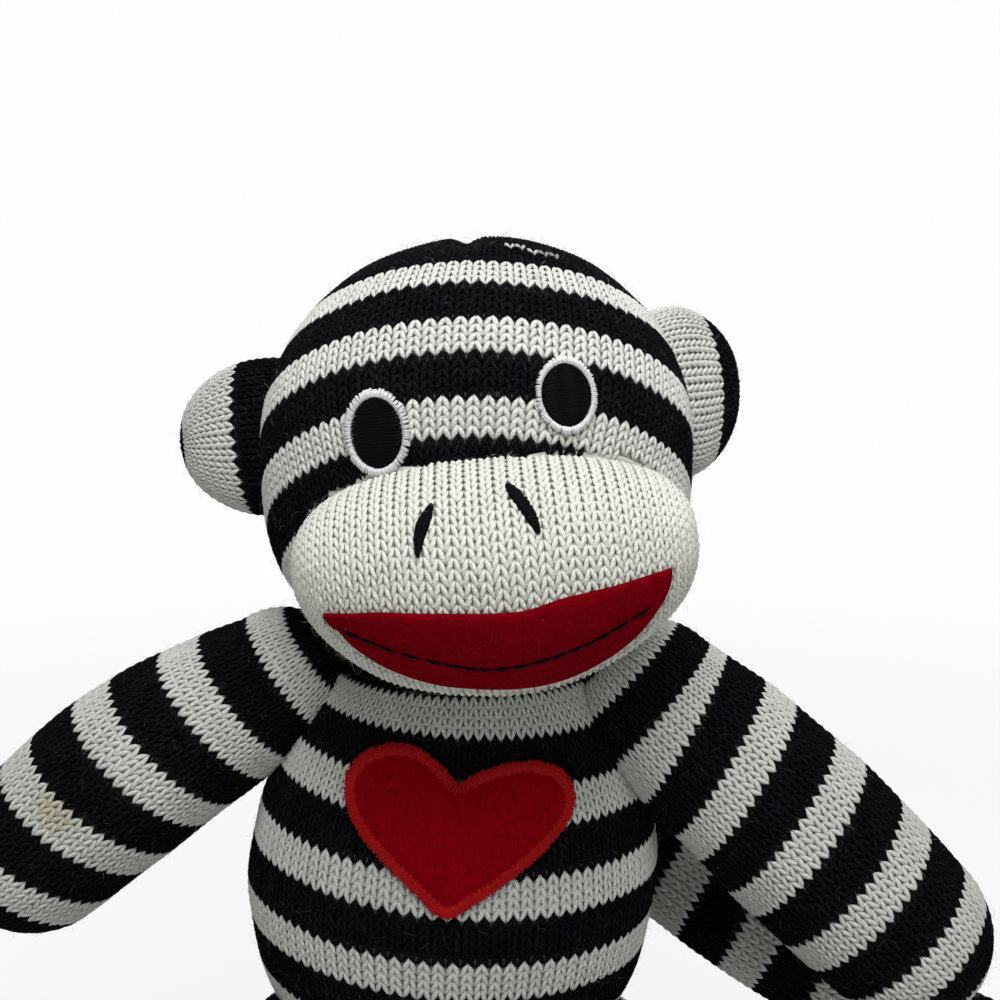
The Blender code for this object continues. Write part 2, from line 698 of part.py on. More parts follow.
def build_ears(pivot):
    near = place(head_mesh("cutter_head_ears", CLEARANCE), "cutter_head_ears")
    wide = place(head_mesh("cutter_head_ears_wide", 2 * CLEARANCE), "cutter_head_ears_wide")
    for side in EAR_DATA:
        skin = place(ear_mesh("ear_skin_" + side, side, 0), "ear_skin_" + side, "knit", pivot)
        combine(skin, place(ear_mesh("cutter_ear_" + side, side, -KNIT), "cutter_ear_" + side))
        combine(skin, near)
        stuffing = place(ear_mesh("ear_stuffing_" + side, side, -KNIT - CLEARANCE),
                         "ear_stuffing_" + side, "stuffing", pivot)
        combine(stuffing, wide)


# Limbs

def root_profile(root, grow):
    """Distance along and radius at each ring of a root ball; filling starts past the thread."""
    ball = root + grow
    angles = ROOT_ANGLES
    if grow < -KNIT:
        start = math.acos(min(1.0, (thread_place(root) - THREAD_RADIUS - CLEARANCE) / ball))
        angles = [start + (math.pi / 2 - start) * share for share in (0.0, 1 / 3, 2 / 3)]
    return [(-ball * math.cos(angle), ball * math.sin(angle)) for angle in angles]


def limb_profile(data, grow, opened=False):
    """Distance along the limb and radius there, from the root ball to the tip."""
    root, middle, tip = data["root"] + grow, data["middle"] + grow, data["tip"] + grow
    reach = data["reach"] + grow
    profile = []
    if opened:
        mouth = -data["root"] * math.cos(OPENING_ANGLE) - OVERRUN
        profile.append((mouth, root * math.sin(OPENING_ANGLE)))
    profile += root_profile(data["root"], grow)
    profile.append((0, root))
    straight = reach - tip
    for share in (0.25, 0.5, 0.75):
        belly = 1 - (2 * share - 1) ** 2
        ends = root + (tip - root) * share
        profile.append((straight * share, ends + (middle - (root + tip) / 2) * belly))
    profile += [(straight + tip * math.sin(angle), tip * math.cos(angle)) for angle in TIP_ANGLES]
    return profile


def limb_tube(name, pivot_point, data, aim, profile, sides=LIMB_SIDES):
    """A turned limb whose middle bows upward, past its root ball."""
    straight = data["reach"] - data["tip"]
    rise = (Vector((0, 0, 1)) - aim * aim.z).normalized()
    points = []
    for along, _ in profile:
        share = min(max(along / straight, 0.0), 1.0)
        points.append(pivot_point + aim * along + rise * data["bow"] * math.sin(math.pi * share))
    return tube(name, points, [radius for _, radius in profile], sides)


def body_trimmer(name, limb, pivot_point, axis, angle):
    """The body as the limb meets it when turned by an angle, less the limb's own ball."""
    mesh = torso_mesh(name, 2 * CLEARANCE)
    turn = Matrix.Translation(pivot_point) @ Matrix.Rotation(-angle, 4, axis) @ Matrix.Translation(-pivot_point)
    mesh.transform(turn)
    trimmer = place(mesh, name)
    return combine(trimmer, limb)


def build_limb(kind, side, data, pivot_point, aim, axis, angles, floor=None):
    """A knitted tube, open where it is sewn on, with its stuffing and its seam thread."""
    tag = kind + "_" + side
    pivot = pivot_at(tag + "_pivot", pivot_point)
    outer = limb_tube(kind + "_skin_" + side, pivot_point, data, aim, limb_profile(data, 0))
    skin = place(outer, kind + "_skin_" + side, "knit", pivot)
    inner = limb_tube("cutter_" + tag, pivot_point, data, aim, limb_profile(data, -KNIT, opened=True))
    combine(skin, place(inner, "cutter_" + tag))
    packed = limb_tube(kind + "_stuffing_" + side, pivot_point, data, aim,
                           limb_profile(data, -KNIT - PACKING_GAP), STUFFED_LIMB_SIDES)
    stuffing = place(packed, kind + "_stuffing_" + side, "stuffing", pivot)
    guard = socket("guard_" + tag, pivot_point, data["root"], CLEARANCE / 10, GUARD_SIDES, GUARD_ROWS)
    for i, angle in enumerate(angles):
        trimmer = body_trimmer("trimmer_%s_%d" % (tag, i), guard, pivot_point, axis, angle)
        combine(skin, trimmer)
        combine(stuffing, trimmer)
    if floor:
        combine(skin, floor)
    build_seam_thread(kind + "_seam_thread_" + side, pivot, aim, data["root"], LIMB_SIDES)


def thread_place(root):
    """Distance inward from the pivot at which the gathering thread runs round a root ball."""
    return root * math.cos(OPENING_ANGLE) - 2 * THREAD_RADIUS


def build_seam_thread(name, pivot, aim, root, sides):
    """The thread that gathers a limb's open end and sews it on runs just inside its rim."""
    inward = thread_place(root)
    wall = root - KNIT
    first, second = (Vector((wall * math.cos(angle), wall * math.sin(angle))) for angle in ROOT_ANGLES[:2])
    share = min(1.0, max(0.0, (first.x - inward) / (first.x - second.x)))
    inner = (first.y + (second.y - first.y) * share) * math.cos(math.pi / sides)
    radius = inner - CLEARANCE - THREAD_RADIUS
    side = aim.orthogonal().normalized()
    other = aim.cross(side)
    centre = pivot.location - aim * inward
    points = []
    for i in range(sides):
        around = 2 * math.pi * i / sides
        points.append(centre + (side * math.cos(around) + other * math.sin(around)) * radius)
    place(tube(name, points, [THREAD_RADIUS] * sides, 6, cyclic=True), name, "seam_thread", pivot)


def arm_pivot(data):
    height = TORSO_HEIGHT * data["height_share"]
    centre, half_x, _ = torso_section(height)
    across = centre + data["side"] * (half_x + data["stand_off"])
    return Vector((across, -data["fore"], height))


def build_arms():
    for side, data in ARM_DATA.items():
        aim = Vector(data["aim"]).normalized()
        axis = Vector((0, -data["side"], 0))
        build_limb("arm", side, data, arm_pivot(data), aim, axis, (data["low"],))


def leg_pivot(data):
    return Vector((data["side"] * data["out"], -data["fore"], data["root"] - FLOOR_CUT))


def build_legs(floor):
    for side, data in LEG_DATA.items():
        climb = (data["tip"] - data["root"]) / (data["reach"] - data["tip"])
        aim = Vector((*data["aim"], climb)).normalized()
        axis = Vector((aim.y, -aim.x, 0)).normalized()
        build_limb("leg", side, data, leg_pivot(data), aim, axis, (data["high"], data["low"]), floor)


# Tail

def tail_run(grow, opened=False):
    """Points and radii of the tail, from its root ball in the back to its rounded tip."""
    root, middle, tip = TAIL_ROOT + grow, TAIL_MIDDLE + grow, TAIL_TIP + grow
    line = smooth_run(TAIL_RUN, TAIL_STEPS)
    first = (line[1] - line[0]).normalized()
    last = (line[-1] - line[-2]).normalized()
    points, radii = [], []
    if opened:
        points.append(line[0] - first * (TAIL_ROOT * math.cos(OPENING_ANGLE) + OVERRUN))
        radii.append(root * math.sin(OPENING_ANGLE))
    for along, radius in root_profile(TAIL_ROOT, grow):
        points.append(line[0] + first * along)
        radii.append(radius)
    for i, point in enumerate(line):
        share = i / (len(line) - 1)
        belly = 1 - (2 * share - 1) ** 2
        points.append(point)
        radii.append(root + (tip - root) * share + (middle - (root + tip) / 2) * belly)
    for angle in TIP_ANGLES[1:]:
        points.append(line[-1] + last * tip * math.sin(angle))
        radii.append(tip * math.cos(angle))
    return points, radii


def build_tail(floor):
    pivot = pivot_at("tail_pivot", TAIL_RUN[0])
    skin = place(tube("tail_skin", *tail_run(0), TAIL_SIDES), "tail_skin", "knit", pivot)
    inside = tube("cutter_tail", *tail_run(-KNIT, opened=True), TAIL_SIDES)
    combine(skin, place(inside, "cutter_tail"))
    combine(skin, floor)
    packed = tube("tail_stuffing", *tail_run(-KNIT - PACKING_GAP), TAIL_SIDES - 2)
    place(packed, "tail_stuffing", "stuffing", pivot)
    line = smooth_run(TAIL_RUN, TAIL_STEPS)
    build_seam_thread("tail_seam_thread", pivot, (line[1] - line[0]).normalized(), TAIL_ROOT, TAIL_SIDES)


def build_neck_thread():
    """The neck is whip-stitched with one thread, which lies on the collar round the neck."""
    pivot = pivot_at("neck_pivot", NECK_PIVOT)
    lift = TORSO_HEIGHT + CLEARANCE + THREAD_RADIUS
    radius = NECK_RADIUS + COLLAR_WIDTH / 2
    ring = level_ring((NECK_PIVOT.x, NECK_PIVOT.y, lift), radius, radius, HEAD_SIDES)
    mesh = tube("neck_seam_thread", ring, [THREAD_RADIUS] * HEAD_SIDES, 6, cyclic=True)
    place(mesh, "neck_seam_thread", "seam_thread", pivot)
    return pivot


def weld_cuts():
    """Close the hairline seams that the cuts can leave."""
    for item in bpy.data.collections[DOLL].objects:
        if item.modifiers:
            step = item.modifiers.new("weld", "WELD")
            step.merge_threshold = WELD


def build_doll():
    start_scene()
    floor = floor_cutter()
    balls = [("arm_" + side, arm_pivot(data), data["root"]) for side, data in ARM_DATA.items()]
    balls += [("leg_" + side, leg_pivot(data), data["root"]) for side, data in LEG_DATA.items()]
    balls.append(("tail", Vector(TAIL_RUN[0]), TAIL_ROOT))
    build_torso(floor, balls)
    build_heart()
    pivot = build_neck_thread()
    build_head(pivot)
    build_crown_thread(pivot)
    build_muzzle(pivot)
    build_eyes(pivot)
    build_mouth(pivot)
    build_nostrils(pivot)
    build_ears(pivot)
    build_arms()
    build_legs(floor)
    build_tail(floor)
    weld_cuts()


build_doll()
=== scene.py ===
import math

import bmesh
import bpy
import numpy as np
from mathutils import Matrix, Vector, noise
from mathutils.bvhtree import BVHTree


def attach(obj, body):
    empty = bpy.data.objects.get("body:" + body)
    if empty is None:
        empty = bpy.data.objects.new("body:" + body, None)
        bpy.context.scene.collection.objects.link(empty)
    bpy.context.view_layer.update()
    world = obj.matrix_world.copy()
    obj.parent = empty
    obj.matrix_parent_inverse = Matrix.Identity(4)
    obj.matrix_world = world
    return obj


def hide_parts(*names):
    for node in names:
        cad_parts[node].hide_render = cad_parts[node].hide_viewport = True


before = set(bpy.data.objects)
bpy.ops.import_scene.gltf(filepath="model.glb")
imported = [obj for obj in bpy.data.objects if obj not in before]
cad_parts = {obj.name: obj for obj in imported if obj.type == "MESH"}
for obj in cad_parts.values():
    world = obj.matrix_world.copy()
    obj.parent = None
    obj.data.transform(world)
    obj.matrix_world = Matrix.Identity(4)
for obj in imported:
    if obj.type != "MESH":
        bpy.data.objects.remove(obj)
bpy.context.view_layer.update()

MM = 0.001


# Studio: a pale floor that runs up behind the doll, soft light from above and the camera.
# The camera stands in front of the face, a little over the head, and looks down six degrees.
def new_object(name, data):
    """A new object in the scene; one made for a node of the frame has the node's name and "_fine"."""
    made = bpy.data.objects.new(name + "_fine" * (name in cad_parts), data)
    bpy.context.scene.collection.objects.link(made)
    return made


SENSOR, FOCAL_LENGTH, PICTURE_WIDTH, LOOKS_DOWN = 36, 1100, 1000, 6
camera_data = bpy.data.cameras.new("camera")
camera_data.sensor_width = SENSOR
camera_data.lens = SENSOR * FOCAL_LENGTH / PICTURE_WIDTH
camera = new_object("camera", camera_data)
camera.location = (14 * MM, -290 * MM, 200 * MM)
camera.rotation_euler = (math.radians(90 - LOOKS_DOWN), 0, 0)
bpy.context.scene.camera = camera
bpy.context.scene.view_settings.view_transform = "Standard"


class Link:
    """A node socket: arithmetic on it adds Math nodes, and node() adds a node of any other kind."""

    def __init__(self, tree, socket=None):
        self.tree, self.socket = tree, socket

    def node(self, kind, values=None, out=0, **settings):
        made = self.tree.nodes.new(kind)
        for name, value in settings.items():
            setattr(made, name, value)
        for name, value in (values or {}).items():
            if isinstance(value, Link):
                self.tree.links.new(value.socket, made.inputs[name])
            else:
                made.inputs[name].default_value = value
        return Link(self.tree, made.outputs[out])

    def of(self, out):
        return Link(self.tree, self.socket.node.outputs[out])

    def calculate(self, operation, first, second=0.0):
        return self.node("ShaderNodeMath", {0: first, 1: second}, operation=operation)

    def vector(self, operation, first, second=(0, 0, 0), out=0):
        return self.node("ShaderNodeVectorMath", {0: first, 1: second}, out, operation=operation)

    def __add__(self, other):
        return self.calculate("ADD", self, other)

    def __sub__(self, other):
        return self.calculate("SUBTRACT", self, other)

    def __rsub__(self, other):
        return self.calculate("SUBTRACT", other, self)

    def __mul__(self, other):
        return self.calculate("MULTIPLY", self, other)

    def __truediv__(self, other):
        return self.calculate("DIVIDE", self, other)

    __radd__ = __add__
    __rmul__ = __mul__

    def at_least(self, bound):
        return self.calculate("MAXIMUM", self, bound)

    def at_most(self, bound):
        return self.calculate("MINIMUM", self, bound)

    def mixed(self, first, second):
        """A colour between two, this far from the first to the second."""
        first, second = (value if isinstance(value, Link) else (*value, 1) for value in (first, second))
        return self.node("ShaderNodeMix", {0: self, 6: first, 7: second}, 2, data_type="RGBA")

    def spot(self):
        """The place on the object."""
        return self.node("ShaderNodeTexCoord").of("Object")

    def label(self, name):
        """A number that the mesh carries."""
        return self.node("ShaderNodeAttribute", attribute_name=name).of("Fac")

    def grain(self, place, scale, detail=2.0, **values):
        return self.node("ShaderNodeTexNoise", {"Vector": place, "Scale": scale, "Detail": detail, **values})

    def plies(self, twist):
        """The height of two plies twisted together, on a mesh labelled along and around."""
        wave = (self.label("along") * twist + self.label("around")) * (2 * math.pi * 2)
        return self.calculate("SINE", wave) * 0.5 + 0.5

    def seen(self):
        """1 for what the camera sees itself or through a gloss or a clear thing, and 0 for light."""
        rays = self.node("ShaderNodeLightPath")
        return rays.at_least(rays.of("Is Glossy Ray").at_least(rays.of("Is Transmission Ray")))


def finish_named(name, **constants):
    """A new material: its shader, and a start for its nodes."""
    made = bpy.data.materials.new(name)
    made.use_nodes = True
    shader = made.node_tree.nodes["Principled BSDF"]
    for socket, value in constants.items():
        shader.inputs[socket.replace("_", " ")].default_value = value
    return made, shader, Link(made.node_tree)


def feed(node, socket, value):
    value.tree.links.new(value.socket, node.inputs[socket])


def relief(shader, height, strength, distance):
    """Bumps on a shader."""
    feed(shader, "Normal", height.node("ShaderNodeBump", {
        "Strength": strength, "Distance": distance, "Height": height}))


def new_mesh(name, verts, faces, material=None, **labels):
    """A smooth mesh, with a number at each point for each label."""
    mesh = bpy.data.meshes.new(name)
    mesh.from_pydata(verts, [], faces)
    for label, values in labels.items():
        mesh.attributes.new(label, "FLOAT", "POINT").data.foreach_set("value", np.asarray(values, np.float32))
    mesh.shade_smooth()
    if material:
        mesh.materials.append(material)
    return mesh


NEAR_GLOW, FAR_GLOW, GLOW_RISES_FROM, GLOW_SLOPE = 0.88, 0.11, 0.35, 2.0
studio, studio_shader, start = finish_named("studio_paper", Roughness=0.9)
feed(studio_shader, "Base Color", start.grain(start.spot(), 9.0).mixed((0.80, 0.80, 0.80), (0.82, 0.82, 0.82)))
away = start.vector("LENGTH", start.spot(), out=1)
far = ((away - GLOW_RISES_FROM) * GLOW_SLOPE).at_least(0.0).at_most(1.0)
lit = start.node("ShaderNodeMixShader", {
    0: start.seen() * (far * FAR_GLOW + NEAR_GLOW), 1: Link(start.tree, studio_shader.outputs[0]),
    2: start.node("ShaderNodeEmission", {"Color": (1, 1, 1, 1), "Strength": 1.0})})
feed(studio.node_tree.nodes["Material Output"], 0, lit)
HALF_FLOOR, WALL_START, WALL_HEIGHT, BEND, BEND_STEPS = 4.0, 1.6, 3.0, 0.8, 12
profile = [(-HALF_FLOOR, 0.0)]
for turn in [math.radians(90 * step / BEND_STEPS) for step in range(BEND_STEPS + 1)]:
    profile.append((WALL_START + BEND * math.sin(turn), BEND - BEND * math.cos(turn)))
profile.append((WALL_START + BEND, WALL_HEIGHT))
new_object("floor", new_mesh(
    "floor", [(side, y, z) for y, z in profile for side in (-HALF_FLOOR, HALF_FLOOR)],
    [(2 * i, 2 * i + 1, 2 * i + 3, 2 * i + 2) for i in range(len(profile) - 1)], studio))
for name, place, aim, size, power in (
    ("lamp_above", (0.03, -0.22, 0.47), (0.01, -0.02, 0.17), 0.26, 1.45),
    ("lamp_front", (0.35, -1.1, 0.55), (0, 0, 0.15), 0.9, 1.45),
    ("lamp_behind", (-0.3, 1.1, 0.7), (0, 0, 0.12), 0.9, 1.5),
):
    lamp_data = bpy.data.lights.new(name, "AREA")
    lamp_data.size, lamp_data.energy = size, power
    lamp = new_object(name, lamp_data)
    lamp.location = place
    lamp.visible_camera = False
    lamp.rotation_euler = (Vector(aim) - Vector(place)).to_track_quat("-Z", "Y").to_euler()
AIR_LIGHT = 0.30
world = bpy.data.worlds.new("studio_air")
bpy.context.scene.world = world
world.use_nodes = True
air = world.node_tree.nodes["Background"]
air.inputs["Color"].default_value = (1, 1, 1, 1)
feed(air, "Strength", Link(world.node_tree).seen() * (1 - AIR_LIGHT) + AIR_LIGHT)


# Yarn: soft, loosely spun, off-white and black, a millimetre and a half thick.
# A stitch of plain knit shows as two slim legs that lean apart, each under the next stitch.
# Loose fibres stand off the knit everywhere, pale ones also on the black.
STAIN, STAIN_REACH, STAIN_TINT = (-0.0952, -0.0292, 0.0958), 0.0105, (0.60, 0.56, 0.40)
YARN_BLACK = (0.003, 0.003, 0.004)


def yarn_finish(name, pale, white):
    made, shader, start = finish_named(name, Roughness=1.0, Specular_IOR_Level=0.02)
    spot = start.spot()
    haze, fibre = start.grain(spot, 55.0, 3.0), start.grain(spot, 1500.0, 5.0, Roughness=0.8)
    shade = start.label("tone") * 0.5 + haze * 0.5
    worn = (fibre * 2.0 - 0.5).mixed((0.70, 0.70, 0.69), (1, 1, 1))
    from_stain = start.vector("DISTANCE", spot, STAIN, 1)
    stained = (1 - (from_stain + haze * 0.006) / STAIN_REACH).at_least(0.0)
    white = (stained * 1.5).at_most(0.8).mixed(shade.mixed(pale, white), STAIN_TINT)
    dyed = start.label("dark").mixed(white, shade.mixed(YARN_BLACK, (0.010, 0.010, 0.012)))
    feed(shader, "Base Color", start.vector("MULTIPLY", dyed, worn))
    relief(shader, start.plies(2.2) * 0.35 + fibre, 0.7, 0.3 * MM)
    return made


striped_yarn = yarn_finish("striped_yarn", (0.66, 0.68, 0.63), (0.80, 0.82, 0.775))
plain_yarn = yarn_finish("plain_yarn", (0.78, 0.795, 0.72), (0.86, 0.875, 0.80))
# The backing behind the stitches is black yarn under the black courses. Under the white courses it is a grey
# darker than the yarn, painted shade in the gaps between stitches, with fibre grain over it.
knit_back, shader, start = finish_named("knit_back", Roughness=1.0, Specular_IOR_Level=0.1)
fibre = start.grain(start.spot(), 1500.0, 3.0)
feed(shader, "Base Color", start.vector(
    "MULTIPLY", start.label("dark").mixed((0.55, 0.56, 0.51), YARN_BLACK),
    (fibre * 1.2).mixed((0.7, 0.7, 0.7), (1, 1, 1))))
relief(shader, fibre, 0.6, 0.3 * MM)


def strands_mesh(name, strands, sides=5):
    """Closed tapered strands, each a row of (x, y, z, half width, half depth), cut across Y."""
    verts, faces, along, around = [], [], [], []
    for rows in strands:
        first, rings = len(verts), len(rows) - 2
        for i, (x, y, z, wide, deep) in enumerate(rows[1:-1], 1):
            for k in range(sides):
                turn = 2 * math.pi * (k / sides) - math.pi / 2 + math.pi / sides
                verts.append((x + wide * math.cos(turn), y, z + deep * math.sin(turn)))
                along.append(i / (rings + 1))
                around.append(k / sides)
        low, high, last = len(verts), len(verts) + 1, first + (rings - 1) * sides
        verts += [rows[0][:3], rows[-1][:3]]
        along += [0.0, 1.0]
        around += [0.5, 0.5]
        for k in range(sides):
            j = (k + 1) % sides
            faces += [(low, first + k, first + j), (high, last + j, last + k)]
            faces += [(a + k, a + sides + k, a + sides + j, a + j) for a in range(first, last, sides)]
    return new_mesh(name, verts, faces, along=along, around=around)


FIBRE_DYE = 0.74


def sewing_tree():
    """Sets a stitch on each point, turned the point's own way, with loose fibres, over a backing."""
    tree = bpy.data.node_groups.new("sewing", "GeometryNodeTree")
    for name, kind in (
        ("Places", "Geometry"), ("Stitch", "Object"), ("Fibre", "Object"), ("Backing", "Object"),
        ("Unevenness", "Float"), ("Fibre share", "Float"), ("Seed", "Int"), ("Yarn", "Material"),
    ):
        tree.interface.new_socket(name, in_out="INPUT", socket_type="NodeSocket" + kind)
    tree.interface.new_socket("Sewn", in_out="OUTPUT", socket_type="NodeSocketGeometry")
    given, start = tree.nodes.new("NodeGroupInput"), Link(tree)

    def asked(name):
        return Link(tree, given.outputs[name])

    def own(name, kind="FLOAT_VECTOR"):
        return start.node("GeometryNodeInputNamedAttribute", {"Name": name}, data_type=kind)

    def shape(name):
        return start.node("GeometryNodeObjectInfo", {"Object": asked(name)}).of("Geometry")

    def random(kind, out, shift, **values):
        values["Seed"] = asked("Seed") + shift
        return start.node("FunctionNodeRandomValue", values, out, data_type=kind)

    def turned(rotation, angles):
        by = start.node("FunctionNodeEulerToRotation", {0: angles})
        return start.node("FunctionNodeRotateRotation", {"Rotation": rotation, "Rotate By": by},
                          rotation_space="LOCAL")

    def marked(geometry, name, value):
        return start.node("GeometryNodeStoreNamedAttribute", {
            "Geometry": geometry, "Name": name, "Value": value}, data_type="FLOAT", domain="INSTANCE")

    def joined(first, second):
        both = start.node("GeometryNodeJoinGeometry", {0: first})
        feed(both.socket.node, 0, second)
        return both

    facing = start.node("FunctionNodeAxesToRotation", {
        "Primary Axis": own("facing"), "Secondary Axis": own("rise")}, primary_axis="Z", secondary_axis="Y")
    jitter = start.node("ShaderNodeVectorMath", {
        0: random("FLOAT_VECTOR", 0, 0, Min=(-1, -1, -1), Max=(1, 1, 1)), "Scale": asked("Unevenness")},
        operation="SCALE")
    sewn = start.node("GeometryNodeInstanceOnPoints", {
        "Points": asked("Places"), "Instance": shape("Stitch"),
        "Rotation": turned(facing, start.vector("MULTIPLY", jitter, (0.4, 0.4, 1.0))),
        "Scale": start.vector("MULTIPLY", own("size"), start.vector("ADD", jitter, (1, 1, 1)))})
    lay = random("FLOAT_VECTOR", 0, 13, Min=(-0.15, -0.9, -math.pi), Max=(0.75, 0.9, math.pi))
    loose = start.node("GeometryNodeInstanceOnPoints", {
        "Points": asked("Places"), "Selection": random("BOOLEAN", 3, 11, Probability=asked("Fibre share")),
        "Instance": shape("Fibre"), "Rotation": turned(facing, lay),
        "Scale": random("FLOAT", 1, 17, Min=0.5, Max=1.5)})
    loose = marked(marked(loose, "tone", 0.5), "dark", own("dark", "FLOAT") * FIBRE_DYE)
    both = joined(marked(sewn, "tone", random("FLOAT", 1, 7, Min=0.0, Max=1.0)), loose)
    dyed = start.node("GeometryNodeSetMaterial", {
        "Geometry": start.node("GeometryNodeRealizeInstances", {"Geometry": both}), "Material": asked("Yarn")})
    feed(tree.nodes.new("NodeGroupOutput"), "Sewn", joined(dyed, shape("Backing")))
    return tree


sewing = sewing_tree()


def fibre_mesh(name, length, thick):
    """One loose fibre, curled, that starts in the knit and lifts off it."""
    rows = [(0.16 * length * math.sin(5.2 * t), length * t, 0.30 * length * math.sin(2.6 * t),
             thick * (1 - 0.5 * t), thick * (1 - 0.5 * t)) for t in (0.0, 0.3, 0.65, 1.0)]
    return strands_mesh(name, [rows], sides=3)


def finish_piece(made, body, node):
    """Fastens a piece to its body, and hides the frame's part that it stands for, if any."""
    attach(made, body)
    if node:
        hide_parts(node)


def sew(name, places, stitch, yarn, unevenness, seed, backing=None, fibres=0.0, fibre=None):
    """One stitch on every place, with its backing, as a plain mesh; a place has a point, the way it
    faces, the way it rises, its size and sometimes its darkness."""
    dark = places[4] if len(places) > 4 else np.zeros(len(places[0]))
    spots = new_mesh(name + "_places", places[0], [], dark=dark)
    for label, values in zip(("facing", "rise", "size"), places[1:]):
        spots.attributes.new(label, "FLOAT_VECTOR", "POINT").data.foreach_set(
            "vector", np.asarray(values, np.float32).ravel())
    holder = new_object(name + "_places", spots)
    helpers = [holder]
    wanted = {"Unevenness": unevenness, "Seed": seed, "Yarn": yarn, "Fibre share": fibres}
    for role, mesh in (("Stitch", stitch), ("Backing", backing), ("Fibre", fibre)):
        if mesh:
            wanted[role] = new_object(name + "_" + role, mesh)
            helpers.append(wanted[role])
    step = holder.modifiers.new("sewing", "NODES")
    step.node_group = sewing
    for item in sewing.interface.items_tree:
        if item.in_out == "INPUT" and item.name in wanted:
            step[item.identifier] = wanted[item.name]
    bpy.context.view_layer.update()
    mesh = bpy.data.meshes.new_from_object(holder.evaluated_get(bpy.context.evaluated_depsgraph_get()))
    mesh.name = name
    for item in helpers:
        bpy.data.objects.remove(item, do_unlink=True)
    return new_object(name, mesh)


def knit_leg(side):
    """One leg of a stitch, from beside the middle at its foot, out and up, under the next."""
    return [(side * (0.045 + 0.40 * t ** 0.9), -0.88 + 1.72 * t,
             0.42 * math.sin(math.pi * (0.12 + 0.78 * t)) - 0.22, wide, deep)
            for t, wide, deep in (
                (0.0, 0, 0), (0.2, 0.155, 0.31), (0.5, 0.21, 0.45), (0.8, 0.175, 0.33), (1.0, 0, 0))]


knit_stitch = strands_mesh("knit_stitch", [knit_leg(-1), knit_leg(1)])
loose_fibre = fibre_mesh("loose_fibre", 2.7 * MM, 0.024 * MM)
YARN_DEPTH, SINK = 1.25 * MM, 0.75 * MM
BACK_DEPTH, BACK_THICK = 1.2 * MM, 0.7 * MM
BLACK_COURSES, WHITE_COURSES = 5, 4
BOTH_COURSES = BLACK_COURSES + WHITE_COURSES
HALF_WALES_BELOW, QUARTER_WALES_BELOW = 0.42, 0.2


def length(vectors):
    return np.linalg.norm(vectors, axis=-1)


def unit(vectors):
    return vectors / np.maximum(np.linalg.norm(vectors, axis=-1, keepdims=True), 1e-12)


class Cloth:
    """A knitted form as closed rings of points, read by distance along it and share of a turn round it."""

    def __init__(self, rings, middle=None):
        self.rings, self.middle = np.asarray(rings, float), middle
        steps = length(np.diff(self.rings, axis=0))
        steps = steps.mean(1) if middle is None else steps[:, middle]
        self.run = np.concatenate([[0.0], np.cumsum(steps)])
        self.girth = length(np.roll(self.rings, -1, 1) - self.rings).sum(1)

    def at(self, run, turn):
        place = np.interp(run, self.run, np.arange(len(self.run)))
        row = np.clip(place.astype(int), 0, len(self.run) - 2)
        up = (place - row)[:, None]
        count = self.rings.shape[1]
        spot = (turn % 1.0) * count
        column = spot.astype(int) % count
        over, after = (spot - spot.astype(int))[:, None], (column + 1) % count
        low, high = (self.rings[r, column] * (1 - over) + self.rings[r, after] * over for r in (row, row + 1))
        return low * (1 - up) + high * up

    def frame(self, run, turn, reach, spread):
        """Point, way along and way round at each place, over a stitch's own length and width."""
        along = self.at(run + reach / 2, turn) - self.at(run - reach / 2, turn)
        round_it = self.at(run, turn + spread / 2) - self.at(run, turn - spread / 2)
        return self.at(run, turn), along, round_it

    def normals(self):
        """Which way each point of the rings faces."""
        round_it = np.roll(self.rings, -1, 1) - np.roll(self.rings, 1, 1)
        return unit(np.cross(round_it, np.gradient(self.rings, axis=0)))


def wall(count, around, first=0):
    """Faces between rings of points that are numbered from the first."""
    faces = []
    for ring in range(first, first + (count - 1) * around, around):
        for k in range(around):
            a, b = ring + k, ring + (k + 1) % around
            faces.append((a, b, b + around, a + around))
    return faces


def closed_mesh(name, walls, material=None):
    """Rings of points joined into a closed wall; a second wall, given inside out, makes it a shell."""
    verts, faces = [], []
    for rings, outward in walls:
        first, (count, around) = len(verts), rings.shape[:2]
        verts += [tuple(point) for point in rings.reshape(-1, 3)]
        made = wall(count, around, first)
        for ring, closing in ((0, False), (count - 1, True)):
            verts.append(tuple(rings[ring].mean(0)))
            for k in range(around):
                a, b = first + ring * around + k, first + ring * around + (k + 1) % around
                made.append((a, b, len(verts) - 1) if closing else (b, a, len(verts) - 1))
        faces += made if outward else [tuple(reversed(face)) for face in made]
    return new_mesh(name, verts, faces, material)


def striped_rows(cloth, phase, wales, course):
    """Courses as (start, end, wales, dark); a black stripe starts at the phase."""
    rows, whole = [], cloth.run[-1]
    for k in range(math.floor(-phase / course), math.ceil((whole - phase) / course)):
        low, high = phase + k * course, phase + (k + 1) * course
        middle = min(max((low + high) / 2, 0), whole)
        share = float(np.interp(middle, cloth.run, cloth.girth)) / cloth.girth.max()
        fewer = 1 if share > HALF_WALES_BELOW else 2 if share > QUARTER_WALES_BELOW else 4
        if high > course * 0.3 and low < whole - course * 0.3:
            dark = float(k % BOTH_COURSES < BLACK_COURSES)
            rows.append((max(low, 0.0), min(high, whole), wales // fewer, dark))
    return rows


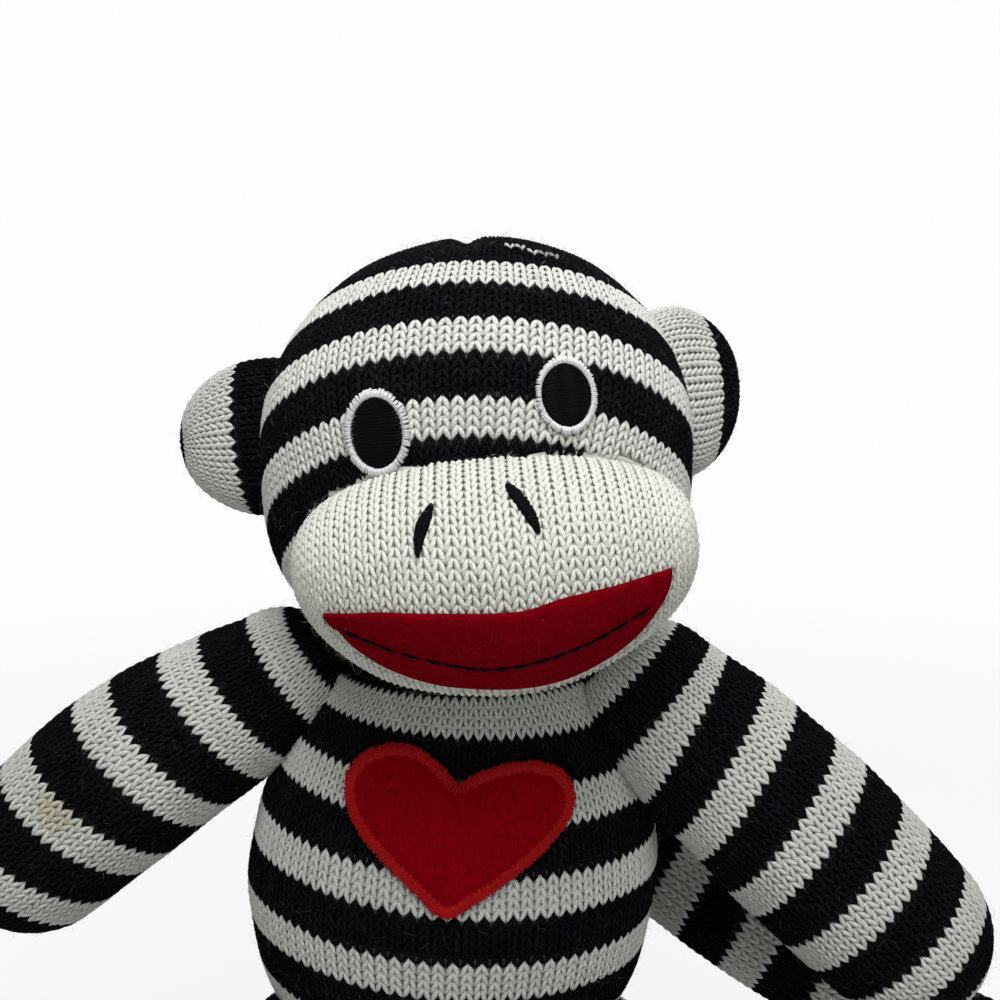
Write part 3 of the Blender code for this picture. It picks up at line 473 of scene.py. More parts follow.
def knit_places(cloth, rows, keep, sideways, dye):
    """Where each stitch sits; sideways, the columns of stitches run round the form."""
    gathered = []
    for low, high, wales, dark in rows:
        turn, run = (np.arange(wales) + 0.5) / wales, np.full(wales, (low + high) / 2)
        at, rise, across = cloth.frame(run, turn, high - low, 1 / wales)
        facing = unit(np.cross(across, rise))
        if sideways:
            rise, across = across, rise
        wale, course = length(across), length(rise)
        size = np.stack([wale, course, np.minimum(YARN_DEPTH, 0.5 * np.maximum(wale, course))], 1)
        kept = keep(at) if keep else np.ones(wales, bool)
        shades = dye(at, dark) if dye else np.full(wales, dark)
        gathered.append([values[kept] for values in (at - facing * SINK, facing, rise, size, shades)])
    return [np.concatenate(values) for values in zip(*gathered)]


def knit_backing(name, cloth, rows, around):
    """The cloth behind the stitches: a thin closed shell with one band of faces for each course, grey under
    the white courses as painted shade.
    """
    turn = np.arange(around) / around
    outer, inner = [], []
    for level in [rows[0][0]] + [row[1] for row in rows]:
        inside = min(max(level, 0.3 * MM), cloth.run[-1] - 0.3 * MM)
        _, rise, across = cloth.frame(np.full(around, inside), turn, 0.5 * MM, 2 / around)
        at, facing = cloth.at(np.full(around, level), turn), unit(np.cross(across, rise))
        outer.append(at - facing * BACK_DEPTH)
        inner.append(at - facing * (BACK_DEPTH + BACK_THICK))
    mesh = closed_mesh(name, ((np.array(outer), True), (np.array(inner), False)), knit_back)
    shades = [row[3] for row in (*rows, rows[0], rows[-1]) for _ in range(around)]
    mesh.attributes.new("dark", "FLOAT", "FACE").data.foreach_set("value", shades * 2)
    return mesh


def knitted(name, body, cloth, rows, node, around, seed, keep=None, sideways=False,
            yarn=striped_yarn, fibres=0.6, dye=None):
    """A stuffed knitted piece that stands for its plain solid."""
    places = knit_places(cloth, rows, keep, sideways, dye)
    made = sew(name, places, knit_stitch, yarn, 0.06, seed, knit_backing(name + "_back", cloth, rows, around),
               fibres, loose_fibre)
    finish_piece(made, body, node)


# Stuffing: loose polyester fibre, packed into each knitted form until it is firm.
# It swells the knit between its seams, which a short cloth simulation under pressure gives.
stuffing_fibre, shader, start = finish_named("stuffing_fibre", Roughness=1.0, Sheen_Weight=0.2)
clump = start.grain(start.spot(), 140.0, 5.0, Distortion=1.2)
strand = start.grain(start.spot(), 900.0, 6.0, Distortion=2.0)
feed(shader, "Base Color", (clump * 0.6 + strand * 0.4).mixed((0.74, 0.74, 0.71), (0.92, 0.92, 0.90)))
relief(shader, clump + strand * 0.5, 0.8, 0.8 * MM)
PRESSURE, SIMULATED_FRAMES, SIMULATED_ROWS, MOVE_CAP = 4.0, 20, 44, 1.2 * MM
LUMP_SIZE, LUMP_HEIGHT, END_FADE, OFF_FLOOR = 17 * MM, 0.45 * MM, 6 * MM, 0.7 * MM


def swelling(rings, facing):
    """How far pressure moves a cloth out from its usual place, between its pinned ends."""
    rows = np.unique(np.linspace(0, len(rings) - 1, SIMULATED_ROWS).astype(int))
    shape = (rings - facing * MOVE_CAP)[rows][:, ::2]
    around = shape.shape[1]
    points = [tuple(point) for point in shape.reshape(-1, 3)]
    swollen = new_object("swelling", new_mesh("swelling", points, wall(len(rows), around)))
    pins = list(range(2 * around)) + list(range((len(rows) - 2) * around, len(rows) * around))
    swollen.vertex_groups.new(name="sewn_down").add(pins, 1.0, "REPLACE")
    simulation = swollen.modifiers.new("cloth", "CLOTH")
    simulation.settings.use_pressure = True
    simulation.settings.uniform_pressure_force = PRESSURE
    simulation.settings.vertex_group_mass = "sewn_down"
    simulation.settings.effector_weights.gravity = 0
    simulation.point_cache.frame_end = SIMULATED_FRAMES
    for number in range(1, SIMULATED_FRAMES + 1):
        bpy.context.scene.frame_set(number)
    grown = bpy.data.meshes.new_from_object(swollen.evaluated_get(bpy.context.evaluated_depsgraph_get()))
    found = np.empty(len(grown.vertices) * 3)
    grown.vertices.foreach_get("co", found)
    bpy.data.objects.remove(swollen, do_unlink=True)
    bpy.context.scene.frame_set(1)
    outward = ((found.reshape(shape.shape) - shape) * facing[rows][:, ::2]).sum(2)
    outward = np.clip(outward - np.median(outward), -MOVE_CAP, MOVE_CAP)
    fuller = np.array([np.interp(np.arange(len(rings)), rows, column) for column in outward.T])
    return np.stack([fuller, (fuller + np.roll(fuller, -1, 0)) / 2], 1).reshape(-1, len(rings)).T


def settled(cloth, floor=False):
    """The cloth as its stuffing leaves it: swollen between its sewn ends, and a little lumpy."""
    rings, facing = cloth.rings.copy(), cloth.normals()
    lumps = np.array([[noise.noise(Vector(point) / LUMP_SIZE) for point in ring] for ring in rings])
    moves = facing * (lumps * LUMP_HEIGHT)[..., None]
    moves += facing * swelling(rings, facing)[..., None]
    ends = np.clip(np.minimum(cloth.run, cloth.run[-1] - cloth.run) / END_FADE, 0, 1)
    rings += moves * ends[:, None, None]
    if floor:
        rings[..., 2] = np.maximum(rings[..., 2], OFF_FLOOR)
    return Cloth(rings, cloth.middle)


def stuffing(cloth, name, body, slack=2.6 * MM):
    """The filling of a knitted form, as a lumpy solid a little inside it."""
    rows = np.linspace(2, len(cloth.rings) - 3, 40).astype(int)
    rings = cloth.rings[rows][:, ::2]
    lumps = np.array([[noise.noise(Vector(p) / (7 * MM)) + 0.5 * noise.noise(Vector(p) / (3.5 * MM))
                       for p in ring] for ring in rings])
    girths = cloth.girth[rows][:, None, None] / (2 * math.pi)
    depth = np.minimum(slack + 0.7 * MM * (1 - lumps)[..., None], girths * 0.6)
    shape = rings - cloth.normals()[rows][:, ::2] * depth
    made = new_object(name, closed_mesh(name, ((shape, True),), stuffing_fibre))
    finish_piece(made, body, name)


# Thread: two plies twisted together, off-white, that gathers the open ends and sews them down.
# Each seam is one thread laid round in a ring, whipped over the edge that it holds.
def thread_finish(name, colour, roughness, shine, twist=1.6):
    made, shader, start = finish_named(name, Roughness=roughness, Specular_IOR_Level=shine)
    fibre, ply = start.grain(start.spot(), 2500.0, 3.0), start.plies(twist)
    # The thread darkens with its own fibre grain, and in the grooves between its plies, which is painted
    # shade.
    grain_and_groove_shade = tuple(0.62 * part for part in colour)
    feed(shader, "Base Color", (fibre * 0.5 + ply * 0.5).mixed(grain_and_groove_shade, colour))
    relief(shader, ply * 0.7 + fibre * 0.4, 0.6, 0.2 * MM)
    return made


sewing_thread = thread_finish("sewing_thread", (0.75, 0.75, 0.72), 0.75, 0.3, 60.0)


def laid_thread(name, paths, radii, material, closed=False, sides=6):
    """Round threads along paths of points; radii holds one radius for each point of a path."""
    verts, faces, along, around = [], [], [], []
    for path, sizes in zip(paths, radii):
        path = np.asarray(path, float)
        first, count = len(verts), len(path)
        last = first + (count - 1) * sides
        ahead = np.roll(path, -1, 0) - np.roll(path, 1, 0) if closed else np.gradient(path, axis=0)
        side = np.array((0.0, 0.3, 1.0))
        for i in range(count):
            way = unit(ahead[i])
            side = unit(side - way * (side @ way))
            other = np.cross(way, side)
            for k in range(sides):
                turn = 2 * math.pi * k / sides
                verts.append(tuple(path[i] + (side * math.cos(turn) + other * math.sin(turn)) * sizes[i]))
                along.append(i / count)
                around.append(k / sides)
        faces += wall(count, sides, first)
        if closed:
            for k in range(sides):
                j = (k + 1) % sides
                faces.append((last + k, last + j, first + j, first + k))
        else:
            faces.append(tuple(first + k for k in reversed(range(sides))))
            faces.append(tuple(last + k for k in range(sides)))
    return new_object(name, new_mesh(name, verts, faces, material, along=along, around=around))


def whipped_ring(name, body, centre, axis, radius, turns, wrap=0.62 * MM, thick=0.3 * MM):
    """A seam thread: a ring that holds the cloth, and a finer loop whipped round it all the way."""
    axis, centre = Vector(axis).normalized(), Vector(centre)
    side = axis.orthogonal().normalized()
    other = axis.cross(side)
    ring, whip = [], []
    steps = turns * 9
    for i in range(steps):
        angle, wound = 2 * math.pi * i / steps, 2 * math.pi * turns * i / steps
        out = side * math.cos(angle) + other * math.sin(angle)
        whip.append(centre + out * (radius + wrap * math.cos(wound)) + axis * wrap * math.sin(wound))
        if i % 4 == 0:
            ring.append(centre + out * radius)
    radii = [[thick] * len(ring), [thick * 0.8] * len(whip)]
    finish_piece(laid_thread(name, [ring, whip], radii, sewing_thread, closed=True), body, name)


# Body: a knitted barrel, gathered shut underneath and sewn round the neck at its top.
# It is stuffed firmly, widest a little above its middle, and its stripes hang lower at the doll's left.
TORSO_HEIGHT, TORSO_WIDE, TORSO_DEEP, TORSO_LEAN = 128.5 * MM, 55.6 * MM, 42 * MM, 4.5 * MM
STRIPE_TILT, SIDE_RISE, TORSO_COURSE, TORSO_PHASE = 0.08, 0.02, 2.4 * MM, 1.6 * MM
TORSO_TABLE = (
    (0.0, 0.26, 0.26), (0.03, 0.38, 0.38), (0.09, 0.56, 0.57), (0.175, 0.72, 0.73),
    (0.265, 0.84, 0.85), (0.37, 0.94, 0.94), (0.53, 1.0, 1.0), (0.675, 0.96, 0.96),
    (0.785, 0.88, 0.89), (0.875, 0.79, 0.82), (0.945, 0.68, 0.74), (0.985, 0.58, 0.67),
    (1.0, 0.432, 0.571))
# Each limb's pivot, aim, reach, thickness at the root, middle and tip, and bow
ARMS = {
    "right": ((-44.11 * MM, -2.5 * MM, 122.46 * MM), (-0.821, -0.071, -0.567),
              100 * MM, 18.5 * MM, 23.3 * MM, 22.3 * MM, 2.6 * MM),
    "left": ((53.96 * MM, -8 * MM, 118.61 * MM), (0.727, -0.166, -0.666),
             107 * MM, 20.4 * MM, 24 * MM, 22.7 * MM, 1 * MM)}
LEG = (152 * MM, 20.5 * MM, 20.5 * MM, 22 * MM, 0)
LEGS = {"right": ((-36 * MM, -13 * MM, 20 * MM), (-0.36, -0.933, 0.0115), *LEG),
        "left": ((36 * MM, -16 * MM, 20 * MM), (0.31, -0.951, 0.0115), *LEG)}
TAIL_RUN = np.array((
    (10, 49, 62), (22, 61, 62), (42, 57, 59), (60, 43, 52.5), (80, 31, 42), (101, 22, 31), (122, 14, 21),
    (143, 4, 15.2), (161, -10, 14.2))) * MM
TAIL_ROOT, TAIL_MIDDLE, TAIL_TIP = 13 * MM, 15 * MM, 14 * MM
root_balls = [(limb[0], limb[3]) for limb in (*ARMS.values(), *LEGS.values())] + [(TAIL_RUN[0], TAIL_ROOT)]


def smooth_run(points, steps):
    """A smooth run through the points, with this many steps between neighbours."""
    rows = np.asarray(points, float)
    rows = np.vstack([2 * rows[0] - rows[1], rows, 2 * rows[-1] - rows[-2]])
    found = []
    for a, b, c, d in zip(rows, rows[1:], rows[2:], rows[3:]):
        for t in np.arange(steps) / steps:
            found.append(0.5 * (2 * b + (c - a) * t + (2 * a - 5 * b + 4 * c - d) * t * t
                                + (3 * b - a - 3 * c + d) * t ** 3))
    return np.array(found + [rows[-2]])


def circle(count, side=(1, 0, 0), other=(0, 1, 0)):
    """Directions all round, from one way towards the other."""
    angle = 2 * np.pi * np.arange(count)[:, None] / count
    return np.cos(angle) * np.array(side) + np.sin(angle) * np.array(other)


BOTTOM_ROWS, TORSO_AROUND = 5, 96
torso_line = smooth_run(TORSO_TABLE, 8)
torso_line = np.vstack([np.linspace((0, 0.01, 0.01), torso_line[0], BOTTOM_ROWS + 1)[:-1], torso_line])
torso_rings = []
round_x, round_y, _ = circle(TORSO_AROUND).T
for number, (share, wide, _) in enumerate(torso_line):
    settle = min(1.0, 7 * share, 7 * (1 - share)) if number > BOTTOM_ROWS else 0.0
    slope = STRIPE_TILT * wide * TORSO_WIDE / TORSO_HEIGHT * round_x - SIDE_RISE * round_x ** 2
    high = np.clip(share - settle * slope, 0, 1)
    widths, depths = np.full((2, TORSO_AROUND), wide)
    if number > BOTTOM_ROWS:
        levels = torso_line[BOTTOM_ROWS:].T
        widths, depths = np.interp(high, levels[0], levels[1]), np.interp(high, levels[0], levels[2])
    torso_rings.append(np.stack([TORSO_LEAN * high ** 2 + TORSO_WIDE * widths * round_x,
                                 TORSO_DEEP * depths * round_y, TORSO_HEIGHT * high], 1))
torso_cloth = settled(Cloth(torso_rings), floor=True)
HEART_SIZE = (27.4 * MM, 19.4 * MM)
HEART = np.array((4.2 * MM, 0.734 * TORSO_HEIGHT))
HEART_SHARES = np.array((
    (0.0, 0.57), (-0.15, 0.79), (-0.34, 0.96), (-0.58, 1.0), (-0.83, 0.86), (-0.98, 0.58),
    (-0.98, 0.25), (-0.86, -0.06), (-0.64, -0.38), (-0.37, -0.72), (-0.12, -1.0), (0.16, -0.82),
    (0.50, -0.52), (0.80, -0.20), (0.97, 0.08), (1.0, 0.36), (0.90, 0.62), (0.68, 0.77),
    (0.44, 0.79), (0.20, 0.72), (0.0, 0.57)))
heart_outline = smooth_run(HEART + HEART_SHARES * HEART_SIZE, 12)


def shows_on_body(points):
    """The body isn't knitted where a limb's root sits in it, nor proud under the heart."""
    kept = np.ones(len(points), bool)
    for centre, radius in root_balls:
        kept &= length(points - np.array(centre)) > radius - 1.2 * MM
    inset = HEART + (heart_outline - HEART) * 0.93
    under = np.zeros(len(points), bool)
    for (x0, z0), (x1, z1) in zip(inset, np.roll(inset, -1, 0)):
        if z0 != z1:
            crosses = (z0 > points[:, 2]) != (z1 > points[:, 2])
            under ^= crosses & (points[:, 0] < x0 + (points[:, 2] - z0) * (x1 - x0) / (z1 - z0))
    return kept & ~(under & (points[:, 1] < 0))


torso_rows = striped_rows(torso_cloth, TORSO_PHASE, 98, TORSO_COURSE)
knitted("torso_knit", "torso", torso_cloth, torso_rows, "torso_skin", 80, seed=3, keep=shows_on_body)
stuffing(torso_cloth, "torso_stuffing", "torso")

# Head: a knitted ball, gathered at the crown and drawn in at the neck, tipped back and to one side.
# Its stripes ring the crown, and the jowls bulge out over the neck, which is a smaller ball in the body.
HEAD = np.array((8.2 * MM, -5 * MM, 185.2 * MM))
HEAD_WIDE, HEAD_DEEP, HEAD_HIGH, HEAD_LEAN = 55.2 * MM, 52.5 * MM, 52 * MM, 1.8 * MM
NECK, NECK_RADIUS = np.array((4.5 * MM, 0, 127 * MM)), 22 * MM
CROWN_PITCH = math.radians(28.6)
crown_axis = Vector((0, math.sin(CROWN_PITCH), math.cos(CROWN_PITCH)))
crown_side = crown_axis.cross(Vector((0, 0, 1))).normalized()
crown_other, crown_up = crown_axis.cross(crown_side), np.array(crown_axis)


def head_reach(direction):
    """Distance from the head's centre to its surface in each direction."""
    flat = (direction[..., 0] / HEAD_WIDE) ** 2 + (direction[..., 1] / HEAD_DEEP) ** 2
    tall = np.abs(direction[..., 2]) / HEAD_HIGH
    return np.where(direction[..., 2] > 0, (flat + tall ** 2) ** -0.5, (flat ** 1.5 + tall ** 3) ** (-1 / 3))


def head_lean(z):
    return HEAD_LEAN * np.maximum(0, (z - HEAD[2]) / HEAD_HIGH) ** 2


def outside_head(points, gap=0.0):
    """Which points are further out than the head's surface less a gap."""
    from_centre = points - HEAD
    from_centre[:, 0] -= head_lean(points[:, 2])
    return length(from_centre) > head_reach(unit(from_centre)) - gap


head_rings = []
head_polars = np.linspace(162, 0.8, 120)
for polar in np.radians(head_polars):
    direction = math.cos(polar) * crown_up + math.sin(polar) * circle(96, crown_side, crown_other)
    points = HEAD + direction * head_reach(direction)[:, None]
    points[:, 0] += head_lean(points[:, 2])
    head_rings.append(points)
head_rings = np.array(head_rings)
# The pucker where the gathered crown draws the knit in, over the forehead
PUCKER, PUCKER_WIDE, PUCKER_DEEP = 5.8 * MM, 2.3 * MM, 1.9 * MM
pulled = np.exp(-((head_rings[..., 0] - PUCKER) / PUCKER_WIDE) ** 2)
pulled = pulled * np.clip((62 - head_polars) / 14, 0, 1)[:, None]
pulled *= head_rings[..., 2] > HEAD[2] + 0.5 * HEAD_HIGH
head_rings += unit(HEAD - head_rings) * (PUCKER_DEEP * pulled)[..., None]
head_cloth = settled(Cloth(head_rings))
# The edges of its stripes, as angles from the crown that the photograph gives
head_black, head_black_two_up, crown_black, crown_white = (
    float(np.interp(-polar, -head_polars, head_cloth.run)) for polar in (105.2, 62.4, 53.0, 33.8))
HEAD_COURSE = (head_black_two_up - head_black) / (2 * BOTH_COURSES)
head_rows = []
for low, high, wales, dark in striped_rows(head_cloth, head_black, 96, HEAD_COURSE):
    middle = (low + high) / 2
    if middle > crown_white:
        dark = float((middle - crown_white) / HEAD_COURSE % BOTH_COURSES >= WHITE_COURSES)
    elif middle > crown_black:
        dark = 1.0
    head_rows.append((low, high, wales, dark))

# Muzzle: a plain off-white cup, knitted finer, stuffed and sewn over the lower face.
# It overhangs the body, and its rim lies on the head all round.
# Above its middle and below it, the muzzle has its own height and squareness
MUZZLE_WIDE, MUZZLE_DEEP, MUZZLE_TALL, SQUARENESS = 45.4 * MM, 35 * MM, (24.9 * MM, 29.9 * MM), (2.4, 1.9)
MUZZLE_ASIDE, MUZZLE_BELOW, MUZZLE_SUNK = 0.086, 0.466, 9 * MM
MUZZLE_ROLL, BURIED, AROUND_HALF = math.radians(5.5), 1.6 * MM, 100
head_share = (1 - MUZZLE_BELOW ** 3) ** (1 / 3)
MUZZLE = np.array((
    HEAD[0] + MUZZLE_ASIDE * HEAD_WIDE,
    HEAD[1] - HEAD_DEEP * math.sqrt(head_share ** 2 - MUZZLE_ASIDE ** 2) + MUZZLE_SUNK,
    HEAD[2] - MUZZLE_BELOW * HEAD_HIGH))
muzzle_right = np.array((math.cos(MUZZLE_ROLL), 0, math.sin(MUZZLE_ROLL)))
muzzle_high = np.array((-math.sin(MUZZLE_ROLL), 0, math.cos(MUZZLE_ROLL)))


def muzzle_share(across, up, power, tall):
    """How near a place is to the muzzle's outline, which is at 1."""
    return (abs(across / MUZZLE_WIDE) ** power + abs(up / tall) ** power) ** (1 / power)


def in_muzzle(points, gap):
    """Which points the muzzle covers."""
    from_centre = points - MUZZLE
    up = from_centre @ muzzle_high
    power, tall = np.where(up > 0, *SQUARENESS), np.where(up > 0, *MUZZLE_TALL)
    share = muzzle_share(from_centre @ muzzle_right, up, power, tall)
    fore = MUZZLE_DEEP * np.sqrt(np.maximum(0, 1 - share ** 2))
    return (-from_centre[:, 1] < fore - gap) & (from_centre[:, 1] < fore + 5 * MM) & (fore > gap)


def run_along(points):
    """The distance along a line at each of its points."""
    return np.concatenate([[0], np.cumsum(length(np.diff(points, axis=0)))])


def read_along(points, run):
    """The places at these distances along a line."""
    return np.stack([np.interp(run, run_along(points), column) for column in points.T], -1)


muzzle_rings = []
for turn in np.radians(np.linspace(-89.3, 89.3, 80)):
    across = MUZZLE_WIDE * math.sin(turn)
    ring = []
    for angle in 2 * np.pi * np.arange(2 * AROUND_HALF) / (2 * AROUND_HALF):
        level, facing = math.cos(angle), 1 if math.sin(angle) > 0 else -1
        power, tall = (values[level <= 0] for values in (SQUARENESS, MUZZLE_TALL))
        up = level * (tall * (1 - abs(across / MUZZLE_WIDE) ** power) ** (1 / power))
        fore = MUZZLE_DEEP * math.sqrt(1 - min(1.0, muzzle_share(across, up, power, tall)) ** 2) * facing
        ring.append(MUZZLE + muzzle_right * across + muzzle_high * up - np.array((0, fore, 0)))
    ring = np.array(ring)
    buried, outward = ~outside_head(ring), unit(ring - HEAD)
    ring[buried] = (HEAD + outward * (head_reach(outward)[:, None] - BURIED))[buried]
    ring = np.vstack([ring, ring[:1]])
    halves = []
    for half in (ring[:AROUND_HALF + 1], ring[AROUND_HALF:]):
        halves.append(read_along(half, np.arange(AROUND_HALF) / AROUND_HALF * run_along(half)[-1]))
    muzzle_rings.append(np.vstack(halves))
muzzle_cloth = settled(Cloth(muzzle_rings, middle=AROUND_HALF // 2))
MUZZLE_COLUMNS, MUZZLE_COURSE = round(muzzle_cloth.run[-1] / (3.0 * MM)), 2.4 * MM
MUZZLE_WALE = muzzle_cloth.run[-1] / MUZZLE_COLUMNS
front_length = length(np.diff(muzzle_cloth.rings[:, :AROUND_HALF + 1], axis=1)).sum(1)
muzzle_rows = []
for low in [k * MUZZLE_WALE for k in range(MUZZLE_COLUMNS)]:
    courses = 2 * float(np.interp(low + MUZZLE_WALE / 2, muzzle_cloth.run, front_length)) / MUZZLE_COURSE
    muzzle_rows.append((low, low + MUZZLE_WALE, max(8, round(courses)), 0.0))
EYES = {"right": (-0.376, 0.084), "left": (0.364, 0.24)}


def crown_dye(points, dark):
    """All black over the forehead's last stripe, but for a few white stitches at the pucker's side."""
    polar = np.degrees(np.arccos((points - HEAD) @ crown_up / length(points - HEAD)))
    x, low_line = points[:, 0], 51.7 + 2.4 * (points[:, 0] > 20 * MM)
    pale = (np.abs(polar - low_line) < 1.2) & (x > 14 * MM) & (x < 29 * MM) & (points[:, 1] < 0)
    return np.where(pale, 0.25 + 0.35 * (x > 24 * MM), dark)


def shows_on_head(points):
    """The head isn't knitted in the neck, nor proud under the muzzle and the eyes."""
    shows = ~in_muzzle(points, 2.5 * MM) & (length(points - NECK) > NECK_RADIUS - 3 * MM)
    for across, up in EYES.values():
        away = (points[:, [0, 2]] - HEAD[[0, 2]] - (across * HEAD_WIDE, up * HEAD_HIGH)) / (5 * MM, 6.6 * MM)
        shows &= ~((length(away) < 1) & (points[:, 1] < HEAD[1]))
    return shows


def on_muzzle(shares):
    """Places seen from in front, from shares of the muzzle's half width and of its height."""
    return np.array([(MUZZLE + muzzle_right * across * MUZZLE_WIDE + muzzle_high * up * MUZZLE_TALL[0])[[0, 2]]
                     for across, up in shares])


LIP = ((-0.775, -0.165), (-0.65, -0.155), (-0.50, -0.14), (-0.24, -0.165), (0.09, -0.20), (0.29, -0.135),
       (0.50, -0.105), (0.65, -0.08), (0.785, -0.065))
CHIN = ((-0.775, -0.165), (-0.73, -0.29), (-0.63, -0.49), (-0.50, -0.67), (-0.28, -0.84), (0.0, -0.92),
        (0.21, -0.92), (0.36, -0.86), (0.49, -0.75), (0.60, -0.60), (0.69, -0.42), (0.75, -0.25),
        (0.785, -0.065))
lip, chin = smooth_run(on_muzzle(LIP), 12), smooth_run(on_muzzle(CHIN), 12)


def mouth_edges(x):
    """The mouth's upper and lower edge over places across it."""
    return np.interp(x, lip[:, 0], lip[:, 1]), np.interp(x, chin[:, 0], chin[:, 1])


def shows_on_muzzle(points):
    """The muzzle's knit is left out inside the head and under the mouth's felt."""
    rim, (x, y, z) = 1.6 * MM, points.T
    upper, lower = mouth_edges(x)
    covered = (z < upper - rim) & (z > lower + rim) & (y < MUZZLE[1])
    covered &= (x > lip[0, 0] + 2 * rim) & (x < lip[-1, 0] - 2 * rim)
    return outside_head(points, 0.3 * MM) & ~covered


knitted("head_knit", "head", head_cloth, head_rows, "head_skin", 80, seed=5, keep=shows_on_head, dye=crown_dye)
knitted("muzzle_knit", "head", muzzle_cloth, muzzle_rows, "muzzle_skin", 64, seed=8, keep=shows_on_muzzle,
        sideways=True, yarn=plain_yarn, fibres=0.8)
stuffing(head_cloth, "head_stuffing", "head")
stuffing(Cloth(MUZZLE + (muzzle_cloth.rings - MUZZLE) * 0.90), "muzzle_stuffing", "head", 0.8 * MM)
neck_cloth = Cloth([
    NECK + np.array((0, 0, NECK_RADIUS * math.sin(angle))) + NECK_RADIUS * math.cos(angle) * circle(60)
    for angle in np.radians(np.linspace(-62, 34, 26))])
neck_rows = striped_rows(neck_cloth, 0, 40, 2.2 * MM)
knitted("neck_knit", "head", neck_cloth, neck_rows, None, 40, seed=6, fibres=0.1)
whipped_ring("neck_seam_thread", "neck", (NECK[0], NECK[1], 129.6 * MM), (0, 0, 1), 23 * MM, 34)
crown = HEAD + crown_up * (float(head_reach(crown_up)) + 0.6 * MM)
whipped_ring("crown_thread", "head", crown, crown_axis, 3.5 * MM, 9)

# Ears: two small knitted half rounds, stuffed flat and sewn to the sides of the head.
# Their courses stand upright, with a stripe beside the head and another at the edge.
EAR_OUT, EAR_THICK, EAR_TIPPED = 26.5 * MM, 8.5 * MM, math.radians(5)
for side, sign, half_high, place, sweep, stripe, seed in (
    ("right", -1, 21 * MM, (-1.0, 0.13, 0.015), 15, (15, 69), 11),
    ("left", 1, 22.8 * MM, (0.94, 0.13, 0.24), 42, (-30, 27), 12),
):
    centre, swept = HEAD + np.array(place) * (HEAD_WIDE, HEAD_DEEP, HEAD_HIGH), math.radians(sweep)
    out = Vector((sign * math.cos(swept) * math.cos(EAR_TIPPED), math.sin(swept),
                  sign * math.cos(swept) * math.sin(EAR_TIPPED)))
    high = Vector((-math.sin(EAR_TIPPED), 0, math.cos(EAR_TIPPED)))
    deep = np.array(out.cross(high).normalized())
    oval = circle(72, np.array(high) * half_high, deep * EAR_THICK)
    ear_angles = np.linspace(-40, 89, 50)
    cloth = settled(Cloth([centre + np.array(out) * EAR_OUT * math.sin(angle) + oval * math.cos(angle)
                           for angle in np.radians(ear_angles)]))
    white_start, black_start = (float(np.interp(angle, ear_angles, cloth.run)) for angle in stripe)
    ear_rows = [(low, high, wales, float(not white_start < (low + high) / 2 < black_start))
                for low, high, wales, _ in striped_rows(cloth, white_start, 34, 2.3 * MM)]
    knitted("ear_knit_" + side, "head", cloth, ear_rows, "ear_skin_" + side, 40, seed,
            keep=lambda points: outside_head(points, 1.5 * MM))
    stuffing(cloth, "ear_stuffing_" + side, "head", 2.2 * MM)


# Eyes: a white ring of radial satin stitches round an oval of black satin, worked through the head's knit.
# The ring's outer edge is uneven, where each stitch ends, and its inner edge is crisp.
class Front:
    """The front of a knitted form, as something sewn on it from in front meets it."""

    def __init__(self, cloth):
        points = [tuple(point) for point in cloth.rings.reshape(-1, 3)]
        self.tree = BVHTree.FromPolygons(points, wall(*cloth.rings.shape[:2]))

    def depth(self, x, z):
        hit = self.tree.ray_cast(Vector((x, -1, z)), Vector((0, 1, 0)))[0]
        return hit.y if hit else self.tree.find_nearest(Vector((x, -60 * MM, z)))[0].y

    def spot(self, x, z, lift=0.0, probe=1.2 * MM):
        """The point on the front at a place seen from in front, lifted off it, and which way it faces."""
        slope_x = (self.depth(x + probe, z) - self.depth(x - probe, z)) / (2 * probe)
        slope_z = (self.depth(x, z + probe) - self.depth(x, z - probe)) / (2 * probe)
        facing = unit(np.array((slope_x, -1.0, slope_z)))
        return np.array((x, self.depth(x, z), z)) + facing * lift, facing


# One thread of a satin stitch rises from the cloth, lies over it and dives in again
satin = strands_mesh("satin_stitch", [[
    (0, t - 0.5, 0.5 * math.sin(math.pi * t) ** 0.6 - 0.3, full, full * 0.8)
    for t, full in ((0.0, 0), (0.08, 0.5), (0.28, 0.5), (0.5, 0.5), (0.72, 0.5), (0.92, 0.5), (1.0, 0))]])
SATIN_THICK = 1.2 * MM


def embroidered(name, body, front, stitches, lift, thread, seed, uneven=0.05):
    """Satin stitches: each from one place to another, seen from in front, this wide and thick."""
    rows = []
    for begin, end, wide, thick in stitches:
        first, last = front.spot(*begin, lift)[0], front.spot(*end, lift)[0]
        middle, facing = front.spot((begin[0] + end[0]) / 2, (begin[1] + end[1]) / 2, lift)
        rows.append(((first + last) / 2 * 0.5 + middle * 0.5, facing, last - first,
                     (wide, float(length(last - first)), thick)))
    places = [np.array(values) for values in zip(*rows)]
    finish_piece(sew(name, places, satin, thread, uneven, seed), body, name)


